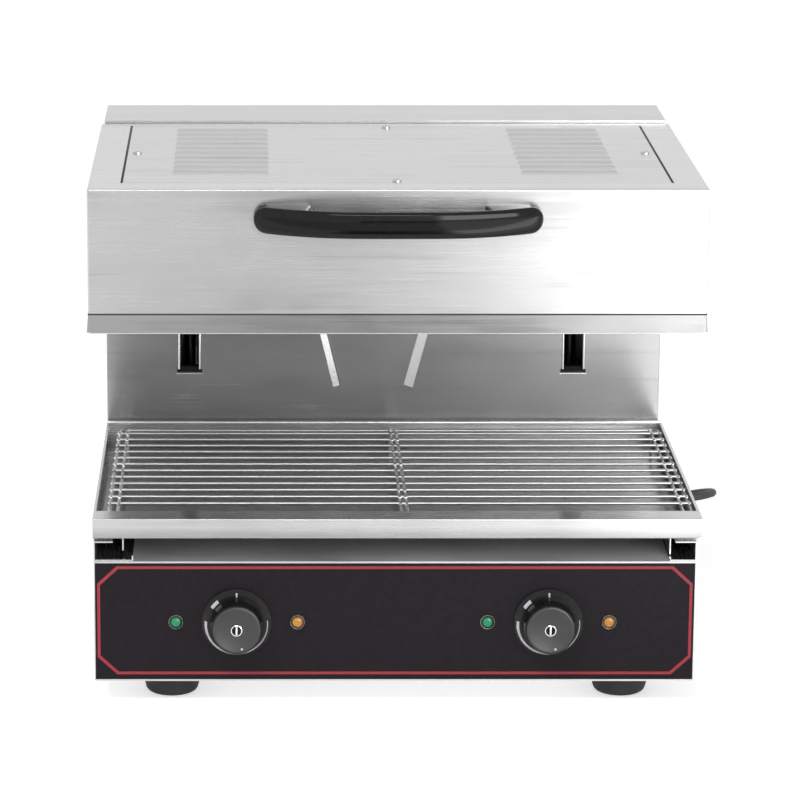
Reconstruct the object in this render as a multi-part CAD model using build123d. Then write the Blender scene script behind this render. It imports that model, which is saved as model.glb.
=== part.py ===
"""Lift grill: a heated hood that slides up and down on a rear column over a drip tray.

Millimetres. +X is the object's right, -Y its front, +Z up. The origin is at the middle
of the footprint, on the surface that the feet stand on.
"""
from build123d import *
import math
import os

# ------------------------------------------------------------------ driving dimensions
HOOD_WIDTH = 600.0          # hood, left to right
BODY_DEPTH = 480.0          # hood front to the back of the rear cover
COLUMN_DEPTH = 100.0        # column front to the back of the rear cover
HOOD_HEIGHT = 142.0         # hood with its lip
HOOD_TOP = 519.0            # top of the raised hood above the table
LIP_HEIGHT = 18.5           # skirt round the bottom of the hood
LIP_FLARE = 1.5             # how far the skirt's lower edge stands out
BASE_WIDTH = 594.0          # base and column, left to right
BASE_HEIGHT = 123.3         # control box without its feet
FOOT_HEIGHT = 23.2
COLUMN_RISE = 2.5           # column top above the hood
HANDLE_REACH = 45.0         # front of the handle to the front of the hood

SHEET = 1.2                 # stainless sheet
DECK_SHEET = 1.8            # top and bottom plates of the control box
SEAM = 0.1                  # gap between sheets that butt
RUN = 0.3                   # gap between pieces that slide on each other
SCREW_GAP = 0.15            # gap between a shank and its clearance hole

HOOD_GAP = 4.0              # hood back to column front
HOOD_DEPTH = BODY_DEPTH - COLUMN_DEPTH - HOOD_GAP
HALF_HOOD = HOOD_WIDTH / 2
HALF_BASE = BASE_WIDTH / 2
BEND = 2.0                  # outside radius of the folded corners

# hood top cover
COVER_SIDE_RIM = 31.5       # hood edge to the cover's opening, left and right
COVER_FRONT_RIM = 32.0
COVER_BACK_RIM = 15.0
COVER_SIDE_SLIT = 2.2
COVER_END_SLIT = 0.6
COVER_LEDGE = 12.0          # shelf that the cover rests on
LEDGE_LAP = 8.0             # how far the shelf reaches under the rim
ARM_HOLE_GAP = 0.5          # hood back to the arm, all round
LIP_HEM = 14.0              # skirt's lower edge, turned in
COVER_SCREW_INSET = 9.5
LOUVRE_ROWS = 10
LOUVRE_LENGTH = 95.0
LOUVRE_WIDTH = 9.0
LOUVRE_RISE = 2.0
LOUVRE_OPENING = 1.0        # top of the slot under each louvre, above the sheet
LOUVRE_FIRST_ROW = 88.0     # from the hood's front
LOUVRE_LAST_ROW = 46.8      # from the hood's back
LOUVRE_PITCH = (HOOD_DEPTH - LOUVRE_FIRST_ROW - LOUVRE_LAST_ROW) / (LOUVRE_ROWS - 1)
LOUVRE_CENTRE = HALF_HOOD - 128.5

# handle
HANDLE_LENGTH = 276.0
HANDLE_TALL = 26.0
HANDLE_THICK = 9.0
HANDLE_DROP = 27.8          # hood top to the handle's centre line
HANDLE_FLAT_HALF = 32.0     # half of its straight middle
HANDLE_SWEEP_RADIUS = 186.0
HANDLE_END_RADIUS = 11.0
HANDLE_BEVEL = 3.0
HANDLE_FOOT_OUTER = 128.0
HANDLE_FOOT_INNER = 84.0
HANDLE_FOOT_LEAN = 6.0
HANDLE_SCREW_SPACING = 210.0
HANDLE_SCREW_LENGTH = 10.0
COVER_SCREW_LENGTH = 9.0
COVER_SCREW_HEAD = 1.8      # height of its head
SCREW_HEAD = 9.0
SCREW_SHANK = 5.0

# heating parts in the hood
REFLECTOR_TOP = 56.0        # above the hood's bottom
REFLECTOR_SHEET = 1.0
REFLECTOR_INSET = 16.0
PAD_HEIGHT = 34.0
ELEMENT_DIAMETER = 8.0
ELEMENT_DROP = 22.0         # reflector underside to the tube's centre line
ELEMENT_LEGS = 6
ELEMENT_LEG_INSET = 44.0    # hood edge to the bends, front and back
ELEMENT_MID_GAP = 34.0      # between the two zones' nearest legs
ELEMENT_SIDE_INSET = 53.0   # hood edge to the outermost leg
ELEMENT_PITCH = (HALF_HOOD - ELEMENT_SIDE_INSET - ELEMENT_MID_GAP / 2) / (ELEMENT_LEGS - 1)
ELEMENT_RISER_RADIUS = 14.0
TERMINAL_DIAMETER = 12.0
TERMINAL_HEIGHT = 14.0
HANGER_WIDTH = 12.0
HANGER_OVERHANG = 9.0       # outermost leg to the strap's upright
HANGER_FRONT = 60.0         # tube bends to the front straps
HANGER_BACK = 80.0          # tube bends to the rear straps
HANGER_SHEET = 1.5

# column: slots, pressed louvres, lift gear
SLOT_X = (-HALF_BASE + 89.0, HALF_BASE - 93.0)
SLOT_WIDTH = 20.0
SLOT_BOTTOM = 105.0         # above the control box
SLOT_CLEAR = 11.5           # hood arm to the slot's upper end
SLOT_RIM = 2.2
SLOT_RIM_RISE = 0.7
STOP_WIDTH = 27.0
STOP_HEIGHT = 3.2
SLANT_WIDTH = 9.6
SLANT_RISE = 1.5
SLANT_FOOT = 86.5           # lower end above the control box
SLANT_LENGTH = 105.0
SLANTS = ((-49.2, -13.8), (27.0, 15.0))   # lower end's X, lean from upright in degrees
ROD_DIAMETER = 14.0
ROD_SETBACK = 50.0          # column front to the rods
ROD_RUNNING_GAP = 0.06      # rod to bush, all round
ROD_BLOCK_HEIGHT = 12.0
ROD_BLOCK_WIDTH = 40.0
BUSH_DIAMETER = 20.0
BUSH_LENGTH = 18.0
CARRIAGE_WIDTH = 44.0
CARRIAGE_THICK = 34.0
CARRIAGE_HEIGHT = 70.0
ARM_THICK = 13.0
ARM_HEIGHT = 56.0
ARM_FLANGE = 52.0
ARM_FLANGE_THICK = 3.0
ARM_CENTRE = 55.0           # above the hood's bottom
ARM_BOLT_SPACING = 34.0
CROSSBAR = 18.0
RETURN_FLANGE = 14.0        # column's rear edge, folded in
COVER_SCREW_END = 30.0      # end of the rear cover to its outer screws
SPRING_DIAMETER = 18.0
SPRING_OFFSET = 38.0        # slot centre to the spring's centre
LUG_THICK = 4.0
LEAD_DIAMETER = 12.0        # flexible lead up to the hood
LEAD_X = 40.0
LEAD_SWAY = 26.0            # how far it bows to the side

# drip tray, rails, wire grid
TRAY_LEFT = -HALF_BASE
TRAY_RIGHT = HALF_BASE + 3.0
TRAY_LIP_REACH = 15.0       # how far its front stands out from the base
TRAY_RIM = 30.0             # flat front rim
TRAY_RIM_HEIGHT = 47.5      # above the control box
TRAY_FASCIA = 20.0
TRAY_BACK_GAP = 4.0
TRAY_HEM = 2.6
TRAY_BACK_HEM = 4.5
RAIL_HEIGHT = 19.8
RAIL_TOP_FLANGE = (19.0, 21.0)     # left, right
RAIL_BOTTOM_FLANGE = (39.0, 26.0)
RAIL_LIP = 5.5
GUIDE_X = (-HALF_BASE + 28.0, HALF_BASE - 24.0)
GUIDE_DEPTH = (13.6, 17.4)
GUIDE_FLANGE = 12.0
TRAY_TRAVEL = 300.0
GRID_LEFT = TRAY_LEFT + 12.5
GRID_RIGHT = TRAY_RIGHT - 3.5
GRID_FRONT = 27.0           # front wire behind the hood's front
GRID_BACK = 16.2            # tray's back to the rear wire
GRID_WIRES = 14
GRID_PITCH = (HOOD_DEPTH + HOOD_GAP - TRAY_BACK_GAP - GRID_BACK - GRID_FRONT) / (GRID_WIRES - 1)
GRID_WIRE = 3.2             # left-to-right wires
GRID_ROD = 4.0              # rim loop
GRID_STAY = 3.6             # front-to-back rods
GRID_LEG = 3.0
GRID_TOP = 1.0              # top of the wires below the tray's rim
GRID_ROD_INSET = 8.6
GRID_MIDDLE = (7.0, 13.0)
GRID_CORNER = 8.0
GRID_LEG_INSET = 14.0
WELD = 0.4                  # how deep crossing wires are welded in

# controls
PANEL_SHEET = 0.8           # dark front plate
CONTROL_CENTRE_Z = 61.4     # above the underside of the control box
KNOB_X = (-HALF_BASE + 141.0, HALF_BASE - 145.0)
KNOB_SKIRT = 68.4
KNOB_SKIRT_EDGE = 2.0
KNOB_SKIRT_HEIGHT = 6.5
KNOB_CAP = 53.0
KNOB_CAP_FACE = 49.4
KNOB_SHOULDER = 58.0        # front edge of the skirt's cone
KNOB_CAP_SINK = 0.5         # cap let into the skirt
KNOB_CAP_ROUND = 2.0
KNOB_WALL = 6.0             # face to the spindle's bore
KNOB_REACH = 29.0
KNOB_GAP = 0.8              # knob to the front plate
KNOB_DISC = 11.6
KNOB_DISC_RISE = 0.6
SHAFT_DIAMETER = 6.0
SHAFT_RUNNING_GAP = 0.06
SHAFT_HOLE = 10.0
LAMP_SPACING = 60.0         # lamp to knob
LAMP_LENS = 12.4
LAMP_RISE = 3.2
LAMP_HOLE = 9.0
LAMP_BODY_LENGTH = 26.0
THERMOSTAT = 44.0
THERMOSTAT_DEPTH = 28.0
THERMOSTAT_BOSS = 1.5

# feet, terminals, cable entry
FOOT_X = (-HALF_BASE + 76.0, HALF_BASE - 69.5)
FOOT_Y = (45.0, BODY_DEPTH - 45.0)      # behind the hood's front
FOOT_TOP = 62.0
FOOT_BOTTOM = 50.0
FOOT_ROUND = 7.0            # radius round the foot's lower edge
NUT_RADIUS = 5.0
NUT_HEIGHT = 4.0
SCREW_SPARE = 12.0          # foot screw above the box's underside
FOOT_BORE = 12.0
FOOT_SEAT = 8.0             # rubber under the screw head
CABLE = 8.6
GLAND_Y = BODY_DEPTH - 20.0             # behind the hood's front
GLAND_Z = 85.0
GLAND_REACH = 20.0
GLAND_NUT = 22.0
GLAND_THREAD = 16.0
GLAND_TAIL = 12.0           # how far it reaches inside the wall
BLOCK_SIZE = (60.0, 26.0, 20.0)
BLOCK_INSET = 40.0          # wall to the terminal block
CORE_BUNDLE = 4.0
CORE_SPACING = 5.0
CORE_BEND = 18.0            # bend radius of the lead and the cores
CORE_RISE_Y = 40.0          # thermostat's back to where the cores rise
VENT_LENGTH = 60.0
VENT_WIDTH = 5.0
VENT_PITCH = 12.0
VENT_COUNT = 6
VENT_X = HALF_BASE / 2      # middle to the outer groups
VENT_END = 40.0             # end of the rear cover to its groups
VENT_DROP = 30.0            # lowest vent of the control box below the knobs' axis

# mains lead beyond the gland, its coil, tie and plug
COIL_RADIUS = 54.0          # outer turn's centre line
COIL_PITCH = 9.2            # turn to turn, sideways and up
COIL_TURNS = 1.5            # turns in, and turns out again
COIL_CENTRE = (150.0, 544.5)       # Y behind the hood's front
TIE_THICK = 0.9
TIE_WIDTH = 12.0
TIE_GAP = 0.2
PLUG_DIAMETER = 37.0
PLUG_RELIEF = 18.0
PLUG_NECK = 10.0
PLUG_BODY = 22.0
PIN_DIAMETER = 4.8
PIN_LENGTH = 19.0
PIN_SPACING = 19.0

# ------------------------------------------------------------------ planes and levels
FRONT = -(BODY_DEPTH - HANDLE_REACH) / 2
REAR = FRONT + BODY_DEPTH
HOOD_BACK = FRONT + HOOD_DEPTH
COLUMN_FRONT = HOOD_BACK + HOOD_GAP
COVER_FACE = REAR - SHEET
BASE_BOTTOM = FOOT_HEIGHT
BASE_TOP = BASE_BOTTOM + BASE_HEIGHT
COLUMN_TOP = HOOD_TOP + COLUMN_RISE
HOOD_BOTTOM = HOOD_TOP - HOOD_HEIGHT
LIP_TOP = HOOD_BOTTOM + LIP_HEIGHT
ROD_Y = COLUMN_FRONT + ROD_SETBACK
RIM_Z = BASE_TOP + TRAY_RIM_HEIGHT
TRAY_FRONT = FRONT - TRAY_LIP_REACH
TRAY_WALL_FRONT = TRAY_FRONT + TRAY_RIM
TRAY_BACK = COLUMN_FRONT - TRAY_BACK_GAP
TRAY_FLOOR = BASE_TOP + RAIL_HEIGHT + RUN
CONTROL_Z = BASE_BOTTOM + CONTROL_CENTRE_Z
PLATE_BACK = FRONT + PANEL_SHEET + SHEET
REFLECTOR_Z = HOOD_BOTTOM + REFLECTOR_TOP
PAD_TOP = REFLECTOR_Z + PAD_HEIGHT
ELEMENT_Z = REFLECTOR_Z - REFLECTOR_SHEET - ELEMENT_DROP
ARM_Z = HOOD_BOTTOM + ARM_CENTRE
COVER_X = HALF_HOOD - COVER_SIDE_RIM - COVER_SIDE_SLIT
COVER_Y = (FRONT + COVER_FRONT_RIM + COVER_END_SLIT, HOOD_BACK - COVER_BACK_RIM - COVER_END_SLIT)
COIL_MIDDLE = Vector(COIL_CENTRE[0], FRONT + COIL_CENTRE[1], 0)
COIL_Z = CABLE / 2 + TIE_THICK + TIE_GAP + SEAM

parts = {}


# ------------------------------------------------------------------ helpers
def block(x, y, z):
    """A box between two values on each axis."""
    size = [abs(span[1] - span[0]) for span in (x, y, z)]
    middle = [(span[1] + span[0]) / 2 for span in (x, y, z)]
    return Pos(*middle) * Box(*size)


def bar_x(diameter, x, y, z):
    """A round bar along X between the two values of x."""
    return Pos((x[0] + x[1]) / 2, y, z) * Rot(0, 90, 0) * Cylinder(diameter / 2, abs(x[1] - x[0]))


def bar_y(diameter, x, y, z):
    return Pos(x, (y[0] + y[1]) / 2, z) * Rot(90, 0, 0) * Cylinder(diameter / 2, abs(y[1] - y[0]))


def bar_z(diameter, x, y, z):
    return Pos(x, y, (z[0] + z[1]) / 2) * Cylinder(diameter / 2, abs(z[1] - z[0]))


def ring_z(outer, inner, x, y, z):
    return bar_z(outer, x, y, z) - bar_z(inner, x, y, (z[0] - 1, z[1] + 1))


def cone_y(near, far, x, y, z):
    """A cone along Y, `near` wide at y[0] and `far` wide at y[1], with y[0] in front."""
    length = y[1] - y[0]
    return Pos(x, (y[0] + y[1]) / 2, z) * Rot(-90, 0, 0) * Cone(near / 2, far / 2, length)


def tube(path, diameter):
    """A round bar along a path."""
    section = Plane(origin=path @ 0, z_dir=path % 0) * Circle(diameter / 2)
    return sweep(section, path=path)


def group(solids):
    """Separate solids that share a node."""
    return Compound(children=list(solids))


def screw_z(x, y, top, length, head=SCREW_HEAD, shank=SCREW_SHANK, head_height=2.2):
    """A pan-head screw pointing down, its head standing on the level `top`."""
    body = bar_z(head, x, y, (top, top + head_height))
    body = fillet(body.edges().sort_by(Axis.Z)[-1], head_height * 0.45)
    body += bar_z(shank, x, y, (top - length, top))
    slot = block((x - head * 0.32, x + head * 0.32), (y - 0.5, y + 0.5), (top + head_height - 0.8, top + 9))
    cross = block((x - 0.5, x + 0.5), (y - head * 0.32, y + head * 0.32), (top + head_height - 0.8, top + 9))
    return body - slot - cross


def screw_y(x, z, face, length, towards=1, head=SCREW_HEAD, shank=SCREW_SHANK):
    """A pan-head screw along Y with its head on the plane `face`; towards=1 points to +Y."""
    upright = screw_z(0, 0, 0, length, head, shank)
    return Pos(x, face, z) * Rot(90 if towards > 0 else -90, 0, 0) * upright


# ------------------------------------------------------------------ control box
def cover_screw_places():
    mid_y = (COVER_Y[0] + COVER_Y[1]) / 2
    inset = COVER_SCREW_INSET
    return [(0, COVER_Y[0] + inset), (0, COVER_Y[1] - inset),
            (-COVER_X + inset, mid_y), (COVER_X - inset, mid_y)]


def foot_places():
    return [(x, FRONT + y) for x in FOOT_X for y in FOOT_Y]


def lamp_places():
    return [(x - LAMP_SPACING, x + LAMP_SPACING) for x in KNOB_X]


def control_holes(solid, y):
    for x in KNOB_X:
        solid -= bar_y(SHAFT_HOLE, x, y, CONTROL_Z)
    for pair in lamp_places():
        for x in pair:
            solid -= bar_y(LAMP_HOLE, x, y, CONTROL_Z)
    return solid


def make_chassis():
    outer = block((-HALF_BASE, HALF_BASE), (FRONT, REAR), (BASE_BOTTOM, BASE_TOP - DECK_SHEET))
    outer = fillet(outer.edges().filter_by(Axis.Y).sort_by(Axis.Z)[:2], SHEET)
    wall = HALF_BASE - SHEET
    inner = block((-wall, wall), (FRONT - 1, REAR + 1), (BASE_BOTTOM + DECK_SHEET, BASE_TOP))
    solid = outer - inner
    for x, y in foot_places():
        solid -= bar_z(SCREW_SHANK + 2 * SCREW_GAP, x, y, (BASE_BOTTOM - 1, BASE_BOTTOM + 5))
    solid -= bar_x(GLAND_THREAD + 2 * SCREW_GAP, (wall - 5, HALF_BASE + 5), FRONT + GLAND_Y, GLAND_Z)
    return solid


def inner_width():
    edge = HALF_BASE - SHEET - SEAM
    return (-edge, edge)


def plate_height():
    return (BASE_BOTTOM + DECK_SHEET + SEAM, BASE_TOP - DECK_SHEET - SEAM)


def make_front_plate():
    solid = block(inner_width(), (FRONT + PANEL_SHEET, PLATE_BACK), plate_height())
    return control_holes(solid, (FRONT - 5, FRONT + 20))


def make_control_panel():
    solid = block(inner_width(), (FRONT, FRONT + PANEL_SHEET), plate_height())
    return control_holes(solid, (FRONT - 5, FRONT + 20))


def make_deck():
    solid = block((-HALF_BASE, HALF_BASE), (FRONT, REAR), (BASE_TOP - DECK_SHEET, BASE_TOP))
    solid -= bar_z(LEAD_DIAMETER + 2, LEAD_X, ROD_Y, (BASE_TOP - 9, BASE_TOP + 9))
    return solid


def vents(x_centre, z_low, y):
    slots = []
    for row in range(VENT_COUNT):
        profile = SlotOverall(VENT_LENGTH, VENT_WIDTH)
        z = z_low + row * VENT_PITCH
        face = Plane(origin=(x_centre, y[1], z), x_dir=(1, 0, 0), z_dir=(0, -1, 0)) * profile
        slots.append(extrude(face, y[1] - y[0]))
    return slots


def make_base_rear():
    solid = block(inner_width(), (COVER_FACE, REAR), plate_height())
    for x in (-VENT_X, 0, VENT_X):
        for slot in vents(x, CONTROL_Z - VENT_DROP, (COVER_FACE - 2, REAR + 2)):
            solid -= slot
    return solid


def make_feet():
    feet = []
    for x, y in foot_places():
        foot = Pos(x, y, FOOT_HEIGHT / 2) * Cone(FOOT_BOTTOM / 2, FOOT_TOP / 2, FOOT_HEIGHT)
        foot = fillet(foot.edges().sort_by(Axis.Z)[0], FOOT_ROUND)
        foot -= bar_z(FOOT_BORE, x, y, (-1, FOOT_SEAT))
        foot -= bar_z(SCREW_SHANK + 2 * SCREW_GAP, x, y, (0, FOOT_HEIGHT + 1))
        feet.append(foot)
    return group(feet)


def make_foot_screws():
    screws = []
    for x, y in foot_places():
        upright = screw_z(0, 0, 0, FOOT_HEIGHT - FOOT_SEAT + SCREW_SPARE)
        screw = Pos(x, y, FOOT_SEAT) * Rot(180, 0, 0) * upright
        nut_z = BASE_BOTTOM + DECK_SHEET
        nut = extrude(Pos(x, y, nut_z) * RegularPolygon(NUT_RADIUS, 6), NUT_HEIGHT)
        screws.append(screw + nut)
    return group(screws)


# ------------------------------------------------------------------ controls
def make_knob(x):
    back = FRONT - KNOB_GAP
    skirt_front = back - KNOB_SKIRT_HEIGHT
    edge = back - KNOB_SKIRT_EDGE
    face = back - KNOB_REACH
    knob = bar_y(KNOB_SKIRT, x, (edge, back), CONTROL_Z)
    knob += cone_y(KNOB_SHOULDER, KNOB_SKIRT, x, (skirt_front, edge), CONTROL_Z)
    cap = cone_y(KNOB_CAP_FACE, KNOB_CAP, x, (face, skirt_front + KNOB_CAP_SINK), CONTROL_Z)
    cap = fillet(cap.edges().sort_by(Axis.Y)[0], KNOB_CAP_ROUND)
    knob += cap
    disc = bar_y(KNOB_DISC, x, (face - KNOB_DISC_RISE, face + 1), CONTROL_Z)
    knob += fillet(disc.edges().sort_by(Axis.Y)[0], KNOB_DISC_RISE * 0.7)
    knob -= bar_y(SHAFT_DIAMETER + 2 * SHAFT_RUNNING_GAP, x, (face + KNOB_WALL, back + 1), CONTROL_Z)
    return knob


def make_spindle(x):
    front = FRONT - KNOB_GAP - KNOB_REACH + KNOB_WALL + SEAM
    back = PLATE_BACK + THERMOSTAT_DEPTH * 0.5
    return bar_y(SHAFT_DIAMETER, x, (front, back), CONTROL_Z)


def make_thermostat(x):
    y0 = PLATE_BACK + THERMOSTAT_BOSS
    half = THERMOSTAT / 2
    solid = block((x - half, x + half), (y0, y0 + THERMOSTAT_DEPTH), (CONTROL_Z - half, CONTROL_Z + half))
    solid = fillet(solid.edges().filter_by(Axis.Y), 3)
    solid += bar_y(SHAFT_HOLE + 8, x, (PLATE_BACK, y0), CONTROL_Z)
    for dx in (-14, 14):
        solid += block((x + dx - 2, x + dx + 2), (y0 + THERMOSTAT_DEPTH, y0 + THERMOSTAT_DEPTH + 8),
                       (CONTROL_Z - 6, CONTROL_Z + 6))
    end = PLATE_BACK + THERMOSTAT_DEPTH * 0.5 + RUN
    solid -= bar_y(SHAFT_DIAMETER + 2 * SHAFT_RUNNING_GAP, x, (PLATE_BACK - 1, end), CONTROL_Z)
    return solid


def make_lens(x):
    lens = bar_y(LAMP_LENS, x, (FRONT - LAMP_RISE, FRONT), CONTROL_Z)
    lens = fillet(lens.edges().sort_by(Axis.Y)[0], LAMP_RISE * 0.6)
    return lens + bar_y(LAMP_HOLE - 1.0, x, (FRONT, PLATE_BACK), CONTROL_Z)


def make_lamp_body(x):
    body = bar_y(LAMP_HOLE + 4, x, (PLATE_BACK, PLATE_BACK + 3), CONTROL_Z)
    body += bar_y(LAMP_HOLE, x, (PLATE_BACK + 3, PLATE_BACK + LAMP_BODY_LENGTH), CONTROL_Z)
    for dz in (-2, 2):
        tab_y = (PLATE_BACK + LAMP_BODY_LENGTH, PLATE_BACK + LAMP_BODY_LENGTH + 6)
        body += block((x - 1.5, x + 1.5), tab_y, (CONTROL_Z + dz - 0.5, CONTROL_Z + dz + 0.5))
    return body


def make_terminal_block():
    dx, dy, dz = BLOCK_SIZE
    x1 = HALF_BASE - SHEET - BLOCK_INSET
    y1 = FRONT + GLAND_Y + dy / 2
    z0 = BASE_BOTTOM + DECK_SHEET
    solid = block((x1 - dx, x1), (y1 - dy, y1), (z0, z0 + dz))
    for step in range(5):
        x = x1 - dx + 8 + step * 11
        solid -= bar_z(5, x, y1 - dy / 2, (z0 + dz - 6, z0 + dz + 1))
    return solid


def make_gland():
    """Cable gland in the right wall: lock nut, body and tapered strain relief."""
    y = FRONT + GLAND_Y
    wall = HALF_BASE - SHEET
    end = HALF_BASE + GLAND_REACH
    hexagon = Plane(origin=(HALF_BASE, y, GLAND_Z), z_dir=(1, 0, 0)) * RegularPolygon(GLAND_NUT / 2, 6)
    solid = extrude(hexagon, 7)
    taper = end - HALF_BASE - 7
    solid += Pos(HALF_BASE + 7 + taper / 2, y, GLAND_Z) * Rot(0, 90, 0) * Cone(8.5, CABLE / 2 + 1.6, taper)
    solid += bar_x(GLAND_THREAD, (wall - GLAND_TAIL, HALF_BASE), y, GLAND_Z)
    lock = Plane(origin=(wall - 5, y, GLAND_Z), z_dir=(1, 0, 0)) * RegularPolygon(GLAND_NUT / 2, 6)
    return solid + extrude(lock, 5)


def make_harness():
    """Lead from the gland to the terminal block, and cores on to both thermostats."""
    dx, _, dz = BLOCK_SIZE
    y = FRONT + GLAND_Y
    block_x = HALF_BASE - SHEET - BLOCK_INSET - dx
    block_top = BASE_BOTTOM + DECK_SHEET + dz
    drop_x = block_x + 0.8 * dx
    entry = FilletPolyline((HALF_BASE - SHEET - GLAND_TAIL, y, GLAND_Z), (drop_x, y, GLAND_Z),
                           (drop_x, y, block_top), radius=CORE_BEND)
    runs = [tube(entry, CABLE - 2)]
    for index, x in enumerate(KNOB_X):
        back = PLATE_BACK + THERMOSTAT_BOSS + THERMOSTAT_DEPTH
        lane = CORE_SPACING * (index - 0.5)
        level = block_top - dz / 2 + lane
        rise = back + CORE_RISE_Y
        path = FilletPolyline((block_x, y + lane, level), (x, y + lane, level), (x, rise, level),
                              (x, rise, CONTROL_Z), (x, back, CONTROL_Z), radius=CORE_BEND)
        runs.append(tube(path, CORE_BUNDLE))
    return group(runs)


# ------------------------------------------------------------------ column
def slant_louvre(foot_x, lean):
    """A pressed slanting louvre on the column's front, its right edge standing out."""
    half = SLANT_WIDTH / 2
    profile = Polyline((-half, SHEET * 0.5), (-half, 0), (half - 0.4, -SLANT_RISE), (half, -SLANT_RISE),
                       (half, SHEET * 0.5), close=True)
    solid = extrude(make_face(profile), SLANT_LENGTH)
    nose = Pos(0, 0, -SLANT_WIDTH) * Rot(-18, 0, 0)
    nose = nose * Box(SLANT_WIDTH * 2, SLANT_WIDTH * 2, SLANT_WIDTH * 2)
    solid -= Pos(0, 0, -SLANT_WIDTH * 0.2) * nose
    return Pos(foot_x, COLUMN_FRONT, BASE_TOP + SLANT_FOOT) * Rot(0, lean, 0) * solid


def make_column_shell():
    x = (-HALF_BASE, HALF_BASE)
    outer = block(x, (COLUMN_FRONT, COVER_FACE), (BASE_TOP, COLUMN_TOP))
    corners = outer.edges().filter_by(Axis.Z).group_by(Axis.Y)[0]
    outer = fillet(corners, SHEET)
    wall = HALF_BASE - SHEET
    inner = block((-wall, wall), (COLUMN_FRONT + SHEET, COVER_FACE + 1), (BASE_TOP - 1, COLUMN_TOP - SHEET))
    solid = outer - inner
    # return flanges that the rear cover is screwed to
    for side in (-1, 1):
        flange_x = sorted((side * wall, side * (wall - RETURN_FLANGE)))
        solid += block(flange_x, (COVER_FACE - SHEET, COVER_FACE), (BASE_TOP, COLUMN_TOP - SHEET))
    for foot_x, lean in SLANTS:
        solid += slant_louvre(foot_x, lean)
    for slot_x in SLOT_X:
        half = SLOT_WIDTH / 2
        rim = half + SLOT_RIM
        low, high = BASE_TOP + SLOT_BOTTOM, ARM_Z + ARM_HEIGHT / 2 + SLOT_CLEAR
        solid += block((slot_x - rim, slot_x + rim), (COLUMN_FRONT - SLOT_RIM_RISE, COLUMN_FRONT + SHEET),
                       (low, high + SLOT_RIM))
        solid -= block((slot_x - half, slot_x + half), (COLUMN_FRONT - 5, COLUMN_FRONT + 9), (low, high))
    for x, z in cover_screws_rear():
        solid -= bar_y(SCREW_SHANK + 2 * SCREW_GAP, x, (COVER_FACE - 5, REAR + 1), z)
    return solid


def cover_screws_rear():
    x = HALF_BASE - SHEET - RETURN_FLANGE / 2
    low, high = BASE_TOP + COVER_SCREW_END, COLUMN_TOP - COVER_SCREW_END
    middle = (low + high) / 2
    return [(side * x, z) for side in (-1, 1) for z in (low, middle, high)]


def make_rear_cover():
    solid = block((-HALF_BASE, HALF_BASE), (COVER_FACE, REAR), (BASE_TOP, COLUMN_TOP))
    for x in (-VENT_X, VENT_X):
        for z in (BASE_TOP + VENT_END, COLUMN_TOP - VENT_END - (VENT_COUNT - 1) * VENT_PITCH):
            for slot in vents(x, z, (COVER_FACE - 2, REAR + 2)):
                solid -= slot
    for x, z in cover_screws_rear():
        solid -= bar_y(SCREW_SHANK + 2 * SCREW_GAP, x, (COVER_FACE - 5, REAR + 1), z)
    return solid


def make_rear_screws():
    """Rear cover screws: countersunk flush, so that nothing stands behind the cover."""
    screws = []
    for x, z in cover_screws_rear():
        screws.append(bar_y(SCREW_SHANK, x, (COVER_FACE - 6, REAR), z))
    return group(screws)


def make_slot_stops():
    stops = []
    for x in SLOT_X:
        low = BASE_TOP + SLOT_BOTTOM
        half = SLOT_WIDTH / 2 - SEAM
        lip = (COLUMN_FRONT - SLOT_RIM_RISE - 0.8, COLUMN_FRONT)
        stop = block((x - half, x + half), (COLUMN_FRONT, COLUMN_FRONT + 8), (low, low + STOP_HEIGHT))
        stop += block((x - STOP_WIDTH / 2, x + STOP_WIDTH / 2), lip, (low - STOP_HEIGHT, low))
        stop += block((x - half, x + half), (lip[0], COLUMN_FRONT + 8), (low, low + STOP_HEIGHT))
        stops.append(stop)
    return group(stops)


def rod_blocks():
    return ((BASE_TOP, BASE_TOP + ROD_BLOCK_HEIGHT),
            (COLUMN_TOP - SHEET - ROD_BLOCK_HEIGHT, COLUMN_TOP - SHEET))


def make_rod(x):
    (low, _), (_, high) = rod_blocks()
    return bar_z(ROD_DIAMETER, x, ROD_Y, (low + SEAM, high - SEAM))


def make_rod_brackets():
    """Blocks that hold the guide rods' ends; the upper ones reach out over the springs."""
    brackets = []
    half = ROD_BLOCK_WIDTH / 2
    for x in SLOT_X:
        for z in rod_blocks():
            y = (COLUMN_FRONT + SHEET, ROD_Y + half)
            piece = block((x - half, x + half), y, z)
            if z == rod_blocks()[1]:
                tip = x + side_of(x) * (SPRING_OFFSET + SPRING_DIAMETER / 2)
                piece += block(sorted((x, tip)), (ROD_Y - SPRING_DIAMETER / 2, ROD_Y + half), z)
            piece -= bar_z(ROD_DIAMETER + 2 * SEAM, x, ROD_Y, (z[0] - 1, z[1] + 1))
            brackets.append(piece)
    return group(brackets)


def side_of(x):
    return math.copysign(1, x)


def carriage_z():
    return (ARM_Z - CARRIAGE_HEIGHT / 2, ARM_Z + CARRIAGE_HEIGHT / 2)


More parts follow.
